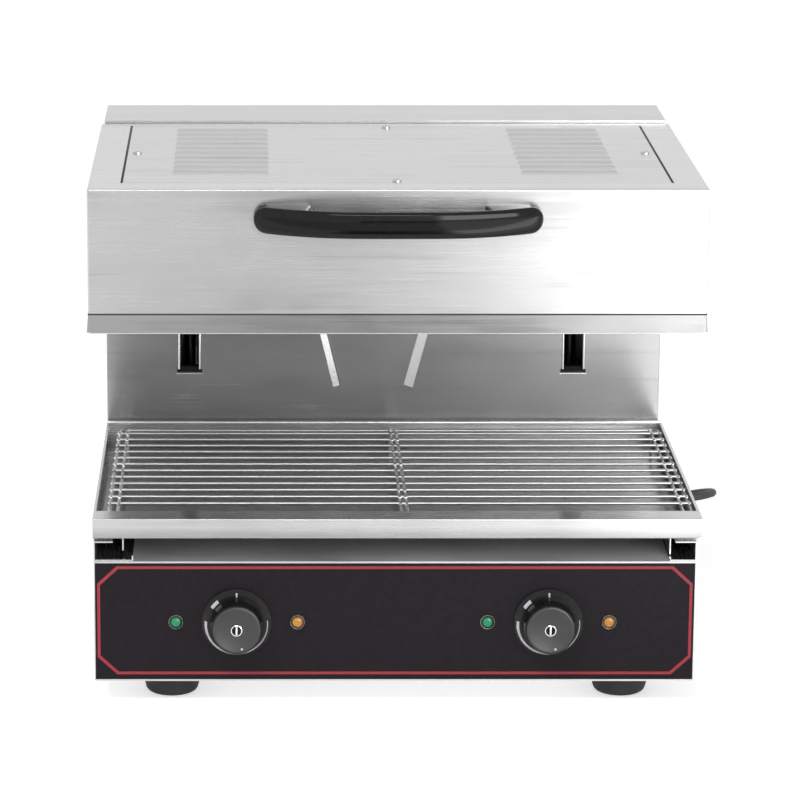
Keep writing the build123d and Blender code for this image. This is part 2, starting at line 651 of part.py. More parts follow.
def make_carriage(x):
    half = CARRIAGE_WIDTH / 2
    low, high = carriage_z()
    solid = block((x - half, x + half), (ROD_Y - CARRIAGE_THICK / 2, ROD_Y + CARRIAGE_THICK / 2), (low, high))
    solid = fillet(solid.edges().filter_by(Axis.Z), 3)
    side = side_of(x)
    lug = sorted((x + side * half, x + side * (SPRING_OFFSET + SPRING_DIAMETER / 2)))
    solid += block(lug, (ROD_Y - SPRING_DIAMETER / 2, ROD_Y + SPRING_DIAMETER / 2), (low, low + LUG_THICK))
    solid -= bar_z(ROD_DIAMETER + 2, x, ROD_Y, (low - 1, high + 1))
    for z in ((low - 1, low + BUSH_LENGTH), (high - BUSH_LENGTH, high + 1)):
        solid -= bar_z(BUSH_DIAMETER + 2 * SEAM, x, ROD_Y, z)
    return solid


def make_bushes():
    low, high = carriage_z()
    bore = ROD_DIAMETER + 2 * ROD_RUNNING_GAP
    bushes = []
    for x in SLOT_X:
        for z in ((low, low + BUSH_LENGTH - SEAM), (high - BUSH_LENGTH + SEAM, high)):
            bushes.append(ring_z(BUSH_DIAMETER, bore, x, ROD_Y, z))
    return group(bushes)


def make_crossbar():
    half = CARRIAGE_WIDTH / 2
    x = (SLOT_X[0] + half, SLOT_X[1] - half)
    size = CROSSBAR / 2
    bar = block(x, (ROD_Y - size, ROD_Y + size), (ARM_Z - size, ARM_Z + size))
    return fillet(bar.edges().filter_by(Axis.X), 2)


def make_spring(x):
    side = side_of(x)
    low = carriage_z()[0] + LUG_THICK + RUN
    high = rod_blocks()[1][0] - RUN
    return bar_z(SPRING_DIAMETER, x + side * SPRING_OFFSET, ROD_Y, (low, high))


def make_lift_lead():
    """Flexible conduit that feeds the hood, standing in the column."""
    low, high = BASE_TOP - DECK_SHEET, ARM_Z - CROSSBAR / 2
    quarter = (high - low) / 4
    heights = [low + step * quarter for step in range(5)]
    sway = [LEAD_X, LEAD_X, LEAD_X + LEAD_SWAY, LEAD_X, LEAD_X]
    points = [(x, ROD_Y, z) for x, z in zip(sway, heights)]
    return tube(FilletPolyline(*points, radius=5 * LEAD_DIAMETER), LEAD_DIAMETER)


# ------------------------------------------------------------------ hood
def make_hood_shell():
    x = (-HALF_HOOD, HALF_HOOD)
    y = (FRONT, HOOD_BACK)
    outer = block(x, y, (LIP_TOP, HOOD_TOP))
    upright = outer.edges().filter_by(Axis.Z)
    top = outer.edges().group_by(Axis.Z)[-1]
    outer = fillet(upright + top, BEND)
    wall = HALF_HOOD - SHEET
    inner = block((-wall, wall), (FRONT + SHEET, HOOD_BACK - SHEET), (LIP_TOP - 1, HOOD_TOP - SHEET))
    upright = inner.edges().filter_by(Axis.Z)
    top = inner.edges().group_by(Axis.Z)[-1]
    inner = fillet(upright + top, BEND - SHEET)
    solid = outer - inner
    open_x = HALF_HOOD - COVER_SIDE_RIM
    open_y = (FRONT + COVER_FRONT_RIM, HOOD_BACK - COVER_BACK_RIM)
    solid -= block((-open_x, open_x), open_y, (HOOD_TOP - 9, HOOD_TOP + 9))
    # ledge under the opening that carries the cover
    ledge_z = (HOOD_TOP - 2 * SHEET, HOOD_TOP - SHEET)
    lap_x = open_x + LEDGE_LAP
    ledge = block((-lap_x, lap_x), (open_y[0] - LEDGE_LAP, open_y[1] + LEDGE_LAP), ledge_z)
    hole_x = open_x - COVER_LEDGE
    ledge -= block((-hole_x, hole_x), (open_y[0] + COVER_LEDGE, open_y[1] - COVER_LEDGE),
                   (HOOD_TOP - 9, HOOD_TOP + 9))
    solid += ledge
    for sx, sy in cover_screw_places():
        solid -= bar_z(SCREW_SHANK + 2 * SCREW_GAP, sx, sy, (HOOD_TOP - 9, HOOD_TOP + 9))
    for sx, sz in handle_screw_places():
        solid -= bar_y(SCREW_SHANK + 2 * SCREW_GAP, sx, (FRONT - 1, FRONT + 5), sz)
    for slot_x in SLOT_X:
        half_x, half_z = ARM_THICK / 2 + ARM_HOLE_GAP, ARM_HEIGHT / 2 + ARM_HOLE_GAP
        solid -= block((slot_x - half_x, slot_x + half_x), (HOOD_BACK - 5, HOOD_BACK + 5),
                       (ARM_Z - half_z, ARM_Z + half_z))
        for bolt_x, bolt_z in arm_bolt_places(slot_x):
            solid -= bar_y(SCREW_SHANK + 2 * SCREW_GAP, bolt_x, (HOOD_BACK - 5, HOOD_BACK + 5), bolt_z)
    return solid


def make_lip_frame():
    """Skirt round the hood's bottom edge: flared walls, with a hem turned in along the bottom."""
    angle = math.degrees(math.atan(LIP_FLARE / LIP_HEIGHT))
    middle = (FRONT + HOOD_BACK) / 2
    outer = extrude(Pos(0, middle, LIP_TOP) * RectangleRounded(HOOD_WIDTH, HOOD_DEPTH, BEND),
                    LIP_HEIGHT, dir=(0, 0, -1), taper=-angle)
    inner = extrude(Pos(0, middle, LIP_TOP) * Rectangle(HOOD_WIDTH - 2 * SHEET, HOOD_DEPTH - 2 * SHEET),
                    LIP_HEIGHT - SHEET, dir=(0, 0, -1), taper=-angle)
    mouth_x = HALF_HOOD - LIP_HEM
    mouth = block((-mouth_x, mouth_x), (FRONT + LIP_HEM, HOOD_BACK - LIP_HEM), (HOOD_BOTTOM - 1, LIP_TOP + 1))
    solid = outer - inner - mouth
    return solid & block((-HOOD_WIDTH, HOOD_WIDTH), (FRONT - 50, HOOD_BACK), (0, HOOD_TOP))


def louvre(x, y):
    """One pressed louvre: rises from the front and is open at the back."""
    half = LOUVRE_LENGTH / 2
    front, back = y - LOUVRE_WIDTH / 2, y + LOUVRE_WIDTH / 2
    level = HOOD_TOP - SHEET * 0.5
    outline = Polyline((front, level), (front, HOOD_TOP), (back - 1, HOOD_TOP + LOUVRE_RISE),
                       (back, HOOD_TOP + LOUVRE_RISE), (back, level), close=True)
    face = Plane(origin=(x - half, 0, 0), x_dir=(0, 1, 0), z_dir=(1, 0, 0)) * make_face(outline)
    solid = extrude(face, LOUVRE_LENGTH)
    return chamfer(solid.edges().filter_by(Axis.Y).sort_by(Axis.Z)[-2:], LOUVRE_RISE * 0.8)


def make_top_cover():
    x = (-COVER_X, COVER_X)
    solid = block(x, COVER_Y, (HOOD_TOP - SHEET, HOOD_TOP))
    humps = []
    cuts = []
    for row in range(LOUVRE_ROWS):
        y = FRONT + LOUVRE_FIRST_ROW + row * LOUVRE_PITCH
        for centre in (-LOUVRE_CENTRE, LOUVRE_CENTRE):
            humps.append(louvre(centre, y))
            inner = LOUVRE_LENGTH / 2 - 3
            back = y + LOUVRE_WIDTH / 2
            cuts.append(block((centre - inner, centre + inner), (back - 3.0, back + 1),
                              (HOOD_TOP - SHEET - 1, HOOD_TOP + LOUVRE_OPENING)))
    solid = solid.fuse(*humps)
    solid = solid.cut(*cuts)
    for sx, sy in cover_screw_places():
        solid -= bar_z(SCREW_SHANK + 2 * SCREW_GAP, sx, sy, (HOOD_TOP - 9, HOOD_TOP + 9))
    return solid


def make_cover_screws():
    return group(screw_z(x, y, HOOD_TOP, COVER_SCREW_LENGTH, head_height=COVER_SCREW_HEAD)
                 for x, y in cover_screw_places())


def handle_screw_places():
    z = HOOD_TOP - HANDLE_DROP
    return [(-HANDLE_SCREW_SPACING / 2, z), (HANDLE_SCREW_SPACING / 2, z)]


def bow_y(x):
    """The handle's centre line at a distance x from its middle."""
    run = max(0.0, abs(x) - HANDLE_FLAT_HALF)
    sweep_back = HANDLE_SWEEP_RADIUS - math.sqrt(HANDLE_SWEEP_RADIUS ** 2 - run ** 2)
    return FRONT - HANDLE_REACH + HANDLE_THICK / 2 + sweep_back


def make_handle():
    """Bow handle: a bevelled bar with a straight middle and swept ends, on two feet."""
    z = HOOD_TOP - HANDLE_DROP
    half = HANDLE_LENGTH / 2
    middle = Line((0, bow_y(0), z), (HANDLE_FLAT_HALF, bow_y(0), z))
    swept = TangentArc((HANDLE_FLAT_HALF, bow_y(0), z), (half, bow_y(half), z), tangent=(1, 0, 0))
    tall, thick, bevel = HANDLE_TALL / 2, HANDLE_THICK / 2, HANDLE_BEVEL
    outline = Polyline((-thick, -tall), (thick - bevel, -tall), (thick, -tall + bevel),
                       (thick, tall - bevel), (thick - bevel, tall), (-thick, tall), close=True)
    section = Plane(origin=(0, bow_y(0), z), x_dir=(0, -1, 0), z_dir=(1, 0, 0)) * make_face(outline)
    bar = sweep(section, path=Wire([middle, swept]))
    # rounded end, seen from the front
    front = Plane(origin=(0, FRONT - 2 * HANDLE_REACH, z), x_dir=(1, 0, 0), z_dir=(0, -1, 0))
    outline = RectangleRounded(HANDLE_LENGTH - 2, HANDLE_TALL + 2 * SEAM, HANDLE_END_RADIUS)
    bar = bar & extrude(front * outline, -2 * HANDLE_REACH)
    foot = Polyline((HANDLE_FOOT_OUTER, FRONT), (HANDLE_FOOT_INNER, FRONT),
                    (HANDLE_FOOT_INNER + HANDLE_FOOT_LEAN, bow_y(HANDLE_FOOT_INNER + HANDLE_FOOT_LEAN)),
                    (HANDLE_FOOT_OUTER, bow_y(HANDLE_FOOT_OUTER)), close=True)
    height = HANDLE_TALL - 2
    bar += extrude(Pos(0, 0, z - height / 2) * make_face(foot), height, dir=(0, 0, 1))
    handle = bar + mirror(bar, about=Plane.YZ)
    for sx, sz in handle_screw_places():
        handle -= bar_y(SCREW_SHANK + 2 * SCREW_GAP, sx, (FRONT - 10, FRONT + 1), sz)
    return handle


def make_handle_screws():
    inner_face = FRONT + SHEET
    return group(screw_y(x, z, inner_face, HANDLE_SCREW_LENGTH, towards=-1)
                 for x, z in handle_screw_places())


def make_reflector():
    x = HALF_HOOD - REFLECTOR_INSET
    y = (FRONT + REFLECTOR_INSET, HOOD_BACK - REFLECTOR_INSET)
    low, high = LIP_TOP + 1, REFLECTOR_Z
    t = REFLECTOR_SHEET
    solid = block((-x, x), y, (low, high))
    solid -= block((-x + t, x - t), (y[0] + t, y[1] - t), (low - 1, high - t))
    brim_x = HALF_HOOD - SHEET - SEAM
    brim = block((-brim_x, brim_x), (FRONT + SHEET + SEAM, HOOD_BACK - SHEET - SEAM), (low, low + t))
    brim = fillet(brim.edges().filter_by(Axis.Z), BEND)
    brim -= block((-x, x), y, (low - 1, high))
    solid += brim
    for px, py in terminal_places():
        solid -= bar_z(TERMINAL_DIAMETER, px, py, (high - 5, high + 5))
    return solid


def make_pad():
    x = HALF_HOOD - REFLECTOR_INSET - 1
    y = (FRONT + REFLECTOR_INSET + 1, HOOD_BACK - REFLECTOR_INSET - 1)
    solid = block((-x, x), y, (REFLECTOR_Z + RUN, PAD_TOP))
    for px, py in terminal_places():
        solid -= bar_z(TERMINAL_DIAMETER + 4, px, py, (REFLECTOR_Z - 5, PAD_TOP + 5))
    return solid


def element_legs(side):
    first = side * ELEMENT_MID_GAP / 2
    return [first + side * step * ELEMENT_PITCH for step in range(ELEMENT_LEGS)]


def element_span():
    return (FRONT + ELEMENT_LEG_INSET, HOOD_BACK - ELEMENT_LEG_INSET)


def terminal_places():
    back = element_span()[1]
    return [(leg, back) for side in (-1, 1) for leg in (element_legs(side)[0], element_legs(side)[-1])]


def make_element(side):
    front, back = element_span()
    bend = ELEMENT_PITCH / 2 - 0.05
    legs = element_legs(side)
    top = PAD_TOP - TERMINAL_HEIGHT / 2
    points = [(legs[0], back, top), (legs[0], back, ELEMENT_Z)]
    radii = [ELEMENT_RISER_RADIUS]
    for index, leg in enumerate(legs):
        end = front if index % 2 == 0 else back - 2 * ELEMENT_RISER_RADIUS
        last = index == len(legs) - 1
        if last:
            points.append((leg, back, ELEMENT_Z))
            radii.append(ELEMENT_RISER_RADIUS)
        else:
            points.append((leg, end, ELEMENT_Z))
            points.append((legs[index + 1], end, ELEMENT_Z))
            radii += [bend, bend]
    points.append((legs[-1], back, top))
    return tube(FilletPolyline(*points, radius=radii), ELEMENT_DIAMETER)


def make_hangers():
    """Straps that carry the tubes, hung from the reflector."""
    hangers = []
    front, back = element_span()
    top = REFLECTOR_Z - REFLECTOR_SHEET
    low = ELEMENT_Z - ELEMENT_DIAMETER / 2 - RUN - HANGER_SHEET
    for side in (-1, 1):
        legs = element_legs(side)
        x = sorted((legs[0] - side * HANGER_OVERHANG, legs[-1] + side * HANGER_OVERHANG))
        for y in (front + HANGER_FRONT, back - HANGER_BACK):
            span = (y - HANGER_WIDTH / 2, y + HANGER_WIDTH / 2)
            strap = block(x, span, (low, top))
            strap -= block((x[0] + HANGER_SHEET, x[1] - HANGER_SHEET), (span[0] - 1, span[1] + 1),
                           (low + HANGER_SHEET, top + 1))
            hangers.append(strap)
    return group(hangers)


def make_terminals():
    beads = []
    for x, y in terminal_places():
        beads.append(ring_z(TERMINAL_DIAMETER, ELEMENT_DIAMETER + 0.2, x, y,
                            (PAD_TOP - TERMINAL_HEIGHT, PAD_TOP - TERMINAL_HEIGHT / 2))
                     + bar_z(TERMINAL_DIAMETER, x, y, (PAD_TOP - TERMINAL_HEIGHT / 2, PAD_TOP))
                     + bar_z(4, x, y, (PAD_TOP, PAD_TOP + 8)))
    return group(beads)


def arm_bolt_places(slot_x):
    half = ARM_BOLT_SPACING / 2
    return [(slot_x + dx, ARM_Z + dz) for dx in (-half, half) for dz in (-half, half)]


def make_arm(x):
    half = ARM_THICK / 2
    inner = HOOD_BACK - SHEET
    flange = ARM_FLANGE / 2
    arm = block((x - flange, x + flange), (inner - ARM_FLANGE_THICK, inner), (ARM_Z - flange, ARM_Z + flange))
    web = block((x - half, x + half), (inner - ARM_FLANGE_THICK, ROD_Y - CARRIAGE_THICK / 2),
                (ARM_Z - ARM_HEIGHT / 2, ARM_Z + ARM_HEIGHT / 2))
    arm += web
    for bolt_x, bolt_z in arm_bolt_places(x):
        arm -= bar_y(SCREW_SHANK + 2 * SCREW_GAP, bolt_x, (inner - 9, inner + 1), bolt_z)
    return arm


def make_arm_bolts():
    bolts = []
    head_face = HOOD_BACK - SHEET - ARM_FLANGE_THICK
    for slot_x in SLOT_X:
        for x, z in arm_bolt_places(slot_x):
            bolt = bar_y(SCREW_SHANK, x, (head_face, HOOD_BACK), z)
            bolt += bar_y(SCREW_HEAD, x, (head_face - 3, head_face), z)
            bolts.append(bolt)
    return group(bolts)


# ------------------------------------------------------------------ tray, rails and grid
def make_tray():
    t = SHEET
    x = (TRAY_LEFT, TRAY_RIGHT)
    fascia_low = RIM_Z - TRAY_FASCIA
    # pan behind the front rim, then the overhanging rim with its fascia
    pan = block(x, (TRAY_WALL_FRONT - t, TRAY_BACK), (TRAY_FLOOR, RIM_Z))
    pan -= block((x[0] + t, x[1] - t), (TRAY_WALL_FRONT, TRAY_BACK - t), (TRAY_FLOOR + t, RIM_Z + 1))
    rim = block(x, (TRAY_FRONT, TRAY_WALL_FRONT), (fascia_low, RIM_Z))
    rim = fillet(rim.edges().filter_by(Axis.X).group_by(Axis.Y)[0], t)
    rim -= block((x[0] + t, x[1] - t), (TRAY_FRONT + t, TRAY_WALL_FRONT - t), (fascia_low + t, RIM_Z - t))
    rim -= block((x[0] + t, x[1] - t), (TRAY_FRONT + 10, TRAY_WALL_FRONT - t), (fascia_low - 1, fascia_low + 2 * t))
    tray = pan + rim
    # rolled hems round the pan
    hem_z = (RIM_Z - 1.8, RIM_Z)
    side_y = (TRAY_WALL_FRONT, TRAY_BACK)
    tray += block((x[0], x[0] + TRAY_HEM), side_y, hem_z)
    tray += block((x[1] - TRAY_HEM, x[1]), side_y, hem_z)
    tray += block(x, (TRAY_BACK - TRAY_BACK_HEM, TRAY_BACK), hem_z)
    # cropped lower right corner of the fascia
    notch = Pos(x[1], TRAY_FRONT, fascia_low) * Rot(0, 45, 0) * Box(6, 12, 6)
    return tray - notch


def make_rail(side):
    left = side < 0
    index = 0 if left else 1
    edge = side * HALF_BASE
    y = (FRONT + 2, COLUMN_FRONT - 2)
    t = SHEET
    z0 = BASE_TOP
    z1 = BASE_TOP + RAIL_HEIGHT
    web = block(sorted((edge, edge - side * t)), y, (z0, z1))
    top = block(sorted((edge, edge - side * RAIL_TOP_FLANGE[index])), y, (z1 - t, z1))
    inner = edge - side * RAIL_BOTTOM_FLANGE[index]
    bottom = block(sorted((edge, inner)), y, (z0, z0 + t))
    rail = web + top + bottom
    if left:
        rail += block(sorted((inner, inner + side * t)), y, (z0, z0 + RAIL_LIP))
    return rail


def make_guide(index):
    """Angle under the tray that keeps it straight between the rails."""
    x = GUIDE_X[index]
    side = side_of(x)
    y = (TRAY_WALL_FRONT + 2, TRAY_BACK - 12)
    t = SHEET
    web = block(sorted((x, x - side * t)), y, (TRAY_FLOOR - GUIDE_DEPTH[index], TRAY_FLOOR))
    return web + block(sorted((x, x - side * GUIDE_FLANGE)), y, (TRAY_FLOOR - t, TRAY_FLOOR))


def make_grid():
    """Welded wire grid standing in the tray on short legs."""
    wire_z = RIM_Z - GRID_TOP - GRID_WIRE / 2
    under_wires = wire_z - GRID_WIRE / 2 + WELD
    rod_z = under_wires - GRID_ROD / 2
    stay_z = under_wires - GRID_STAY / 2
    front = FRONT + GRID_FRONT
    back = front + (GRID_WIRES - 1) * GRID_PITCH
    x0 = GRID_LEFT + GRID_ROD / 2
    x1 = GRID_RIGHT - GRID_ROD / 2
    loop = FilletPolyline((x0, front, rod_z), (x1, front, rod_z), (x1, back, rod_z), (x0, back, rod_z),
                          radius=GRID_CORNER, close=True)
    frame = tube(loop, GRID_ROD)
    stays = [x0 + GRID_ROD_INSET, GRID_MIDDLE[0], GRID_MIDDLE[1], x1 - GRID_ROD_INSET]
    members = [bar_y(GRID_STAY, x, (front, back), stay_z) for x in stays]
    overhang = GRID_ROD / 4
    for index in range(1, GRID_WIRES - 1):
        members.append(bar_x(GRID_WIRE, (x0 - overhang, x1 + overhang), front + index * GRID_PITCH, wire_z))
    leg_bottom = TRAY_FLOOR + SHEET + RUN
    for x in (stays[0], stays[1], stays[3]):
        for y in (front + GRID_LEG_INSET, back - GRID_LEG_INSET):
            members.append(bar_z(GRID_LEG, x, y, (leg_bottom, stay_z)))
    return frame.fuse(*members)


# ------------------------------------------------------------------ mains lead
def arc_radii(points):
    """0.45 of the shorter run, divided by the tangent of half the turn, at each corner."""
    radii = []
    for before, here, after in zip(points, points[1:], points[2:]):
        first, second = here - before, after - here
        turn = math.radians(first.get_angle(second))
        radii.append(0.45 * min(first.length, second.length) / math.tan(turn / 2))
    return radii


def route(name, raw):
    points = [Vector(x, FRONT + y, z) for x, y, z in raw]
    radii = arc_radii(points)
    print(name, "radii", [round(r, 1) for r in radii])
    path = FilletPolyline(*points, radius=radii)
    solid = tube(path, CABLE)
    expected = math.pi * CABLE ** 2 / 4 * path.length
    print(name, "length %.1f volume ratio %.5f" % (path.length, solid.volume / expected))
    return solid, path


def coil_point(turns, radius, level):
    """Clockwise from the coil's front, seen from above."""
    angle = math.radians(-90) - 2 * math.pi * turns
    return Vector(COIL_MIDDLE.X + radius * math.cos(angle), COIL_MIDDLE.Y + radius * math.sin(angle), level)


def coil_heading(turns, radius, growth, slope):
    """Unit direction of travel."""
    angle = math.radians(-90) - 2 * math.pi * turns
    outward = Vector(math.cos(angle), math.sin(angle), 0)
    along = Vector(math.sin(angle), -math.cos(angle), slope)
    return (along * (2 * math.pi * radius) + outward * growth).normalized()


def biarc(start, start_dir, end, end_dir):
    """Two arcs from start to end, tangent to the given directions and to each other."""
    gap = end - start
    total = start_dir + end_dir
    a = 2 * (start_dir.dot(end_dir) - 1)
    b = -2 * gap.dot(total)
    c = gap.dot(gap)
    if abs(a) < 1e-9:
        reach = -c / b
    else:
        root = math.sqrt(b * b - 4 * a * c)
        reach = max((-b + root) / (2 * a), (-b - root) / (2 * a))
    first = start + start_dir * reach
    second = end - end_dir * reach
    joint = (first + second) * 0.5
    return [TangentArc(start, joint, tangent=start_dir),
            TangentArc(joint, end, tangent=(second - first).normalized())]


def coil_stations():
    """Turns, radius, height, radius gained per turn and slope at each station of the coil.

    The lead spirals in on the table, climbs a layer in the half turn where the spiral
    reverses, and spirals out on top.
    """
    halves = int(round(COIL_TURNS * 2))
    low, high = COIL_Z, COIL_Z + COIL_PITCH
    inner = COIL_RADIUS - COIL_PITCH * COIL_TURNS
    stations = []
    for step in range(halves + 1):
        growth = -COIL_PITCH if step else 0
        stations.append((step / 2, COIL_RADIUS - COIL_PITCH * step / 2, low, growth, 0))
    tightest = inner - COIL_PITCH / 4
    climb = 2 * COIL_PITCH / (math.pi * tightest)
    stations.append((COIL_TURNS + 0.25, tightest, (low + high) / 2, 0, climb))
    for step in range(halves + 1):
        growth = COIL_PITCH if step < halves else 0
        stations.append((COIL_TURNS + 0.5 + step / 2, inner + COIL_PITCH * step / 2, high, growth, 0))
    return stations


def make_coil():
    stations = coil_stations()
    points = [coil_point(turns, radius, level) for turns, radius, level, _, _ in stations]
    directions = [coil_heading(turns, radius, growth, slope)
                  for turns, radius, _, growth, slope in stations]
    edges = [Line(points[0] - directions[0] * CABLE, points[0])]
    for index in range(len(points) - 1):
        edges += biarc(points[index], directions[index], points[index + 1], directions[index + 1])
    edges.append(Line(points[-1], points[-1] + directions[-1] * CABLE))
    path = Wire(edges)
    solid = tube(path, CABLE)
    expected = math.pi * CABLE ** 2 / 4 * path.length
    print("coil length %.1f volume ratio %.5f" % (path.length, solid.volume / expected))
    print("coil least gap to itself %.2f" % least_gap(path))
    return solid, path


def least_gap(path):
    """Nearest approach of the coil's surface to itself, on points 3 mm apart."""
    count = int(path.length / 3)
    samples = [path @ (i / count) for i in range(count + 1)]
    skip = int(math.pi * CABLE / 3) + 2
    nearest = min((samples[i] - samples[j]).length
                  for i in range(len(samples)) for j in range(i + skip, len(samples)))
    return nearest - CABLE


def make_tie():
    """Flat band round the coil's bundle, at its left side."""
    inner = COIL_RADIUS - COIL_PITCH * COIL_TURNS - CABLE / 2 - TIE_GAP
    outer = COIL_RADIUS + CABLE / 2 + TIE_GAP
    low = COIL_Z - CABLE / 2 - TIE_GAP
    high = COIL_Z + COIL_PITCH + CABLE / 2 + TIE_GAP
    x = (COIL_MIDDLE.X - outer, COIL_MIDDLE.X - inner)
    y = (COIL_MIDDLE.Y - TIE_WIDTH / 2, COIL_MIDDLE.Y + TIE_WIDTH / 2)
    t = TIE_THICK
    band = block((x[0] - t, x[1] + t), y, (low - t, high + t))
    return band - block(x, (y[0] - 1, y[1] + 1), (low, high))


def make_plug(entry):
    """Straight moulded two-pin plug along +X; `entry` is where the lead goes in."""
    x, y, z = entry.X, entry.Y, entry.Z
    neck = x + PLUG_RELIEF
    shoulder = neck + PLUG_NECK
    face = shoulder + PLUG_BODY
    plug = Pos((x + neck) / 2, y, z) * Rot(0, 90, 0) * Cone(CABLE / 2 + 1.5, PLUG_DIAMETER / 4, PLUG_RELIEF)
    plug += Pos((neck + shoulder) / 2, y, z) * Rot(0, 90, 0) * Cone(
        PLUG_DIAMETER / 4, PLUG_DIAMETER / 2, PLUG_NECK)
    plug += bar_x(PLUG_DIAMETER, (shoulder, face), y, z)
    for side in (-1, 1):
        plug += bar_x(PIN_DIAMETER, (face, face + PIN_LENGTH), y + side * PIN_SPACING / 2, z)
    return plug


# The lead leaves the gland to the right, swings round behind the box and comes down to the
# table. Points are X, Y behind the hood's front, and Z.
LEAD_ROUTE = [
    (HALF_BASE + GLAND_REACH, GLAND_Y, GLAND_Z),
    (343.6, GLAND_Y, GLAND_Z),
    (366.8, 473.0, 87.5),
    (380.2, 496.2, 88.0),
    (380.2, 522.8, 82.8),
    (366.8, 546.0, 72.5),
    (343.4, 559.6, 61.0),
    (316.0, 560.5, 48.5),
    (287.0, 551.5, 37.0),
    (258.0, 534.0, 26.0),
    (230.0, 512.0, 15.8),
    (204.0, 495.2, 8.6),
    (179.0, COIL_CENTRE[1] - COIL_RADIUS, COIL_Z),
    (COIL_CENTRE[0] + CABLE, COIL_CENTRE[1] - COIL_RADIUS, COIL_Z),
]
PLUG_Z = PLUG_DIAMETER / 2 + 0.2
TAIL_ROUTE = [
    (COIL_CENTRE[0] + CABLE, COIL_CENTRE[1] + COIL_RADIUS, COIL_Z + COIL_PITCH),
    (COIL_CENTRE[0] + 30.0, COIL_CENTRE[1] + COIL_RADIUS, COIL_Z + COIL_PITCH),
    (COIL_CENTRE[0] + 54.0, COIL_CENTRE[1] + COIL_RADIUS - 2.0, PLUG_Z),
    (COIL_CENTRE[0] + 75.0, COIL_CENTRE[1] + COIL_RADIUS - 2.0, PLUG_Z),
]


# ------------------------------------------------------------------ assembly
def build():
    parts["base_chassis"] = make_chassis()
    parts["base_front_plate"] = make_front_plate()
    parts["control_panel"] = make_control_panel()
    parts["base_deck"] = make_deck()
    parts["base_rear_panel"] = make_base_rear()
    parts["feet"] = make_feet()
    parts["foot_screws"] = make_foot_screws()
    for name, x in zip(("left", "right"), KNOB_X):
        parts["knob_" + name] = make_knob(x)
        parts["spindle_" + name] = make_spindle(x)
        parts["thermostat_" + name] = make_thermostat(x)
    lamps = lamp_places()
    parts["green_lamp_lenses"] = group(make_lens(pair[0]) for pair in lamps)
    parts["amber_lamp_lenses"] = group(make_lens(pair[1]) for pair in lamps)
    parts["lamp_bodies"] = group(make_lamp_body(x) for pair in lamps for x in pair)
    parts["terminal_block"] = make_terminal_block()
    parts["box_wiring"] = make_harness()
    parts["cable_gland"] = make_gland()

    parts["column_shell"] = make_column_shell()
    parts["column_rear_cover"] = make_rear_cover()
    parts["rear_cover_screws"] = make_rear_screws()
    parts["slot_stops"] = make_slot_stops()
    parts["rod_brackets"] = make_rod_brackets()
    parts["lift_lead"] = make_lift_lead()
    for name, x in zip(("left", "right"), SLOT_X):
        parts["guide_rod_" + name] = make_rod(x)
        parts["lift_spring_" + name] = make_spring(x)
        parts["carriage_" + name] = make_carriage(x)
        parts["hood_arm_" + name] = make_arm(x)
    parts["carriage_bushes"] = make_bushes()
    parts["carriage_crossbar"] = make_crossbar()
    parts["arm_bolts"] = make_arm_bolts()

    parts["hood_shell"] = make_hood_shell()
    parts["hood_lip_frame"] = make_lip_frame()
    parts["hood_top_cover"] = make_top_cover()
    parts["cover_screws"] = make_cover_screws()
    parts["handle"] = make_handle()
    parts["handle_screws"] = make_handle_screws()
    parts["heat_reflector"] = make_reflector()
    parts["insulation_pad"] = make_pad()
    for name, side in (("left", -1), ("right", 1)):
        parts["heating_element_" + name] = make_element(side)
    parts["element_hangers"] = make_hangers()
    parts["element_terminals"] = make_terminals()

    parts["drip_tray"] = make_tray()
    parts["tray_rail_left"] = make_rail(-1)
    parts["tray_rail_right"] = make_rail(1)
    parts["tray_guide_left"] = make_guide(0)
    parts["tray_guide_right"] = make_guide(1)
    parts["wire_grid"] = make_grid()

    lead, lead_path = route("mains_lead", LEAD_ROUTE)
    coil, coil_path = make_coil()
    tail, tail_path = route("lead_tail", TAIL_ROUTE)
    parts["mains_lead"] = lead
    parts["lead_coil"] = coil
    parts["lead_tail"] = tail
    parts["coil_tie"] = make_tie()
    parts["mains_plug"] = make_plug(tail_path @ 1)
    total = lead_path.length + coil_path.length + tail_path.length
    print("lead length from gland to plug %.1f" % total)


build()
os.makedirs("parts", exist_ok=True)
for node, shape in parts.items():
    export_step(shape, "parts/" + node + ".step")
print(len(parts), "nodes")
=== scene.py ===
import math

import bmesh
import bpy
from mathutils import Matrix, Vector


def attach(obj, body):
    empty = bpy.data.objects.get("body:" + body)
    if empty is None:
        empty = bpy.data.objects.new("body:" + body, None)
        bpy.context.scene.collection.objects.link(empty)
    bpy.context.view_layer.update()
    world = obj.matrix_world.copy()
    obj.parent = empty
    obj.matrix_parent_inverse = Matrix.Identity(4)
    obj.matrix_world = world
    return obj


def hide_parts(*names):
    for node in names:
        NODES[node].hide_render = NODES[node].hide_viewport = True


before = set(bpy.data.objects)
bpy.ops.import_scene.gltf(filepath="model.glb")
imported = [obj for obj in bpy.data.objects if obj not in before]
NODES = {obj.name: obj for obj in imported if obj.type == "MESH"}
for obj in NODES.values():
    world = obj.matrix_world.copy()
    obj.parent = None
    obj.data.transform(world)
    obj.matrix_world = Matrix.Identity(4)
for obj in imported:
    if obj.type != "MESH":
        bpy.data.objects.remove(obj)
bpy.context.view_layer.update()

# where the CAD model has the hood's and the panel's front, the base's side and the controls, in metres
FRONT = -0.2175
HALF_BASE = 0.297
CONTROL_Z = 0.0846
KNOB_X = (-0.156, 0.152)
LAMP_SPACING = 0.060


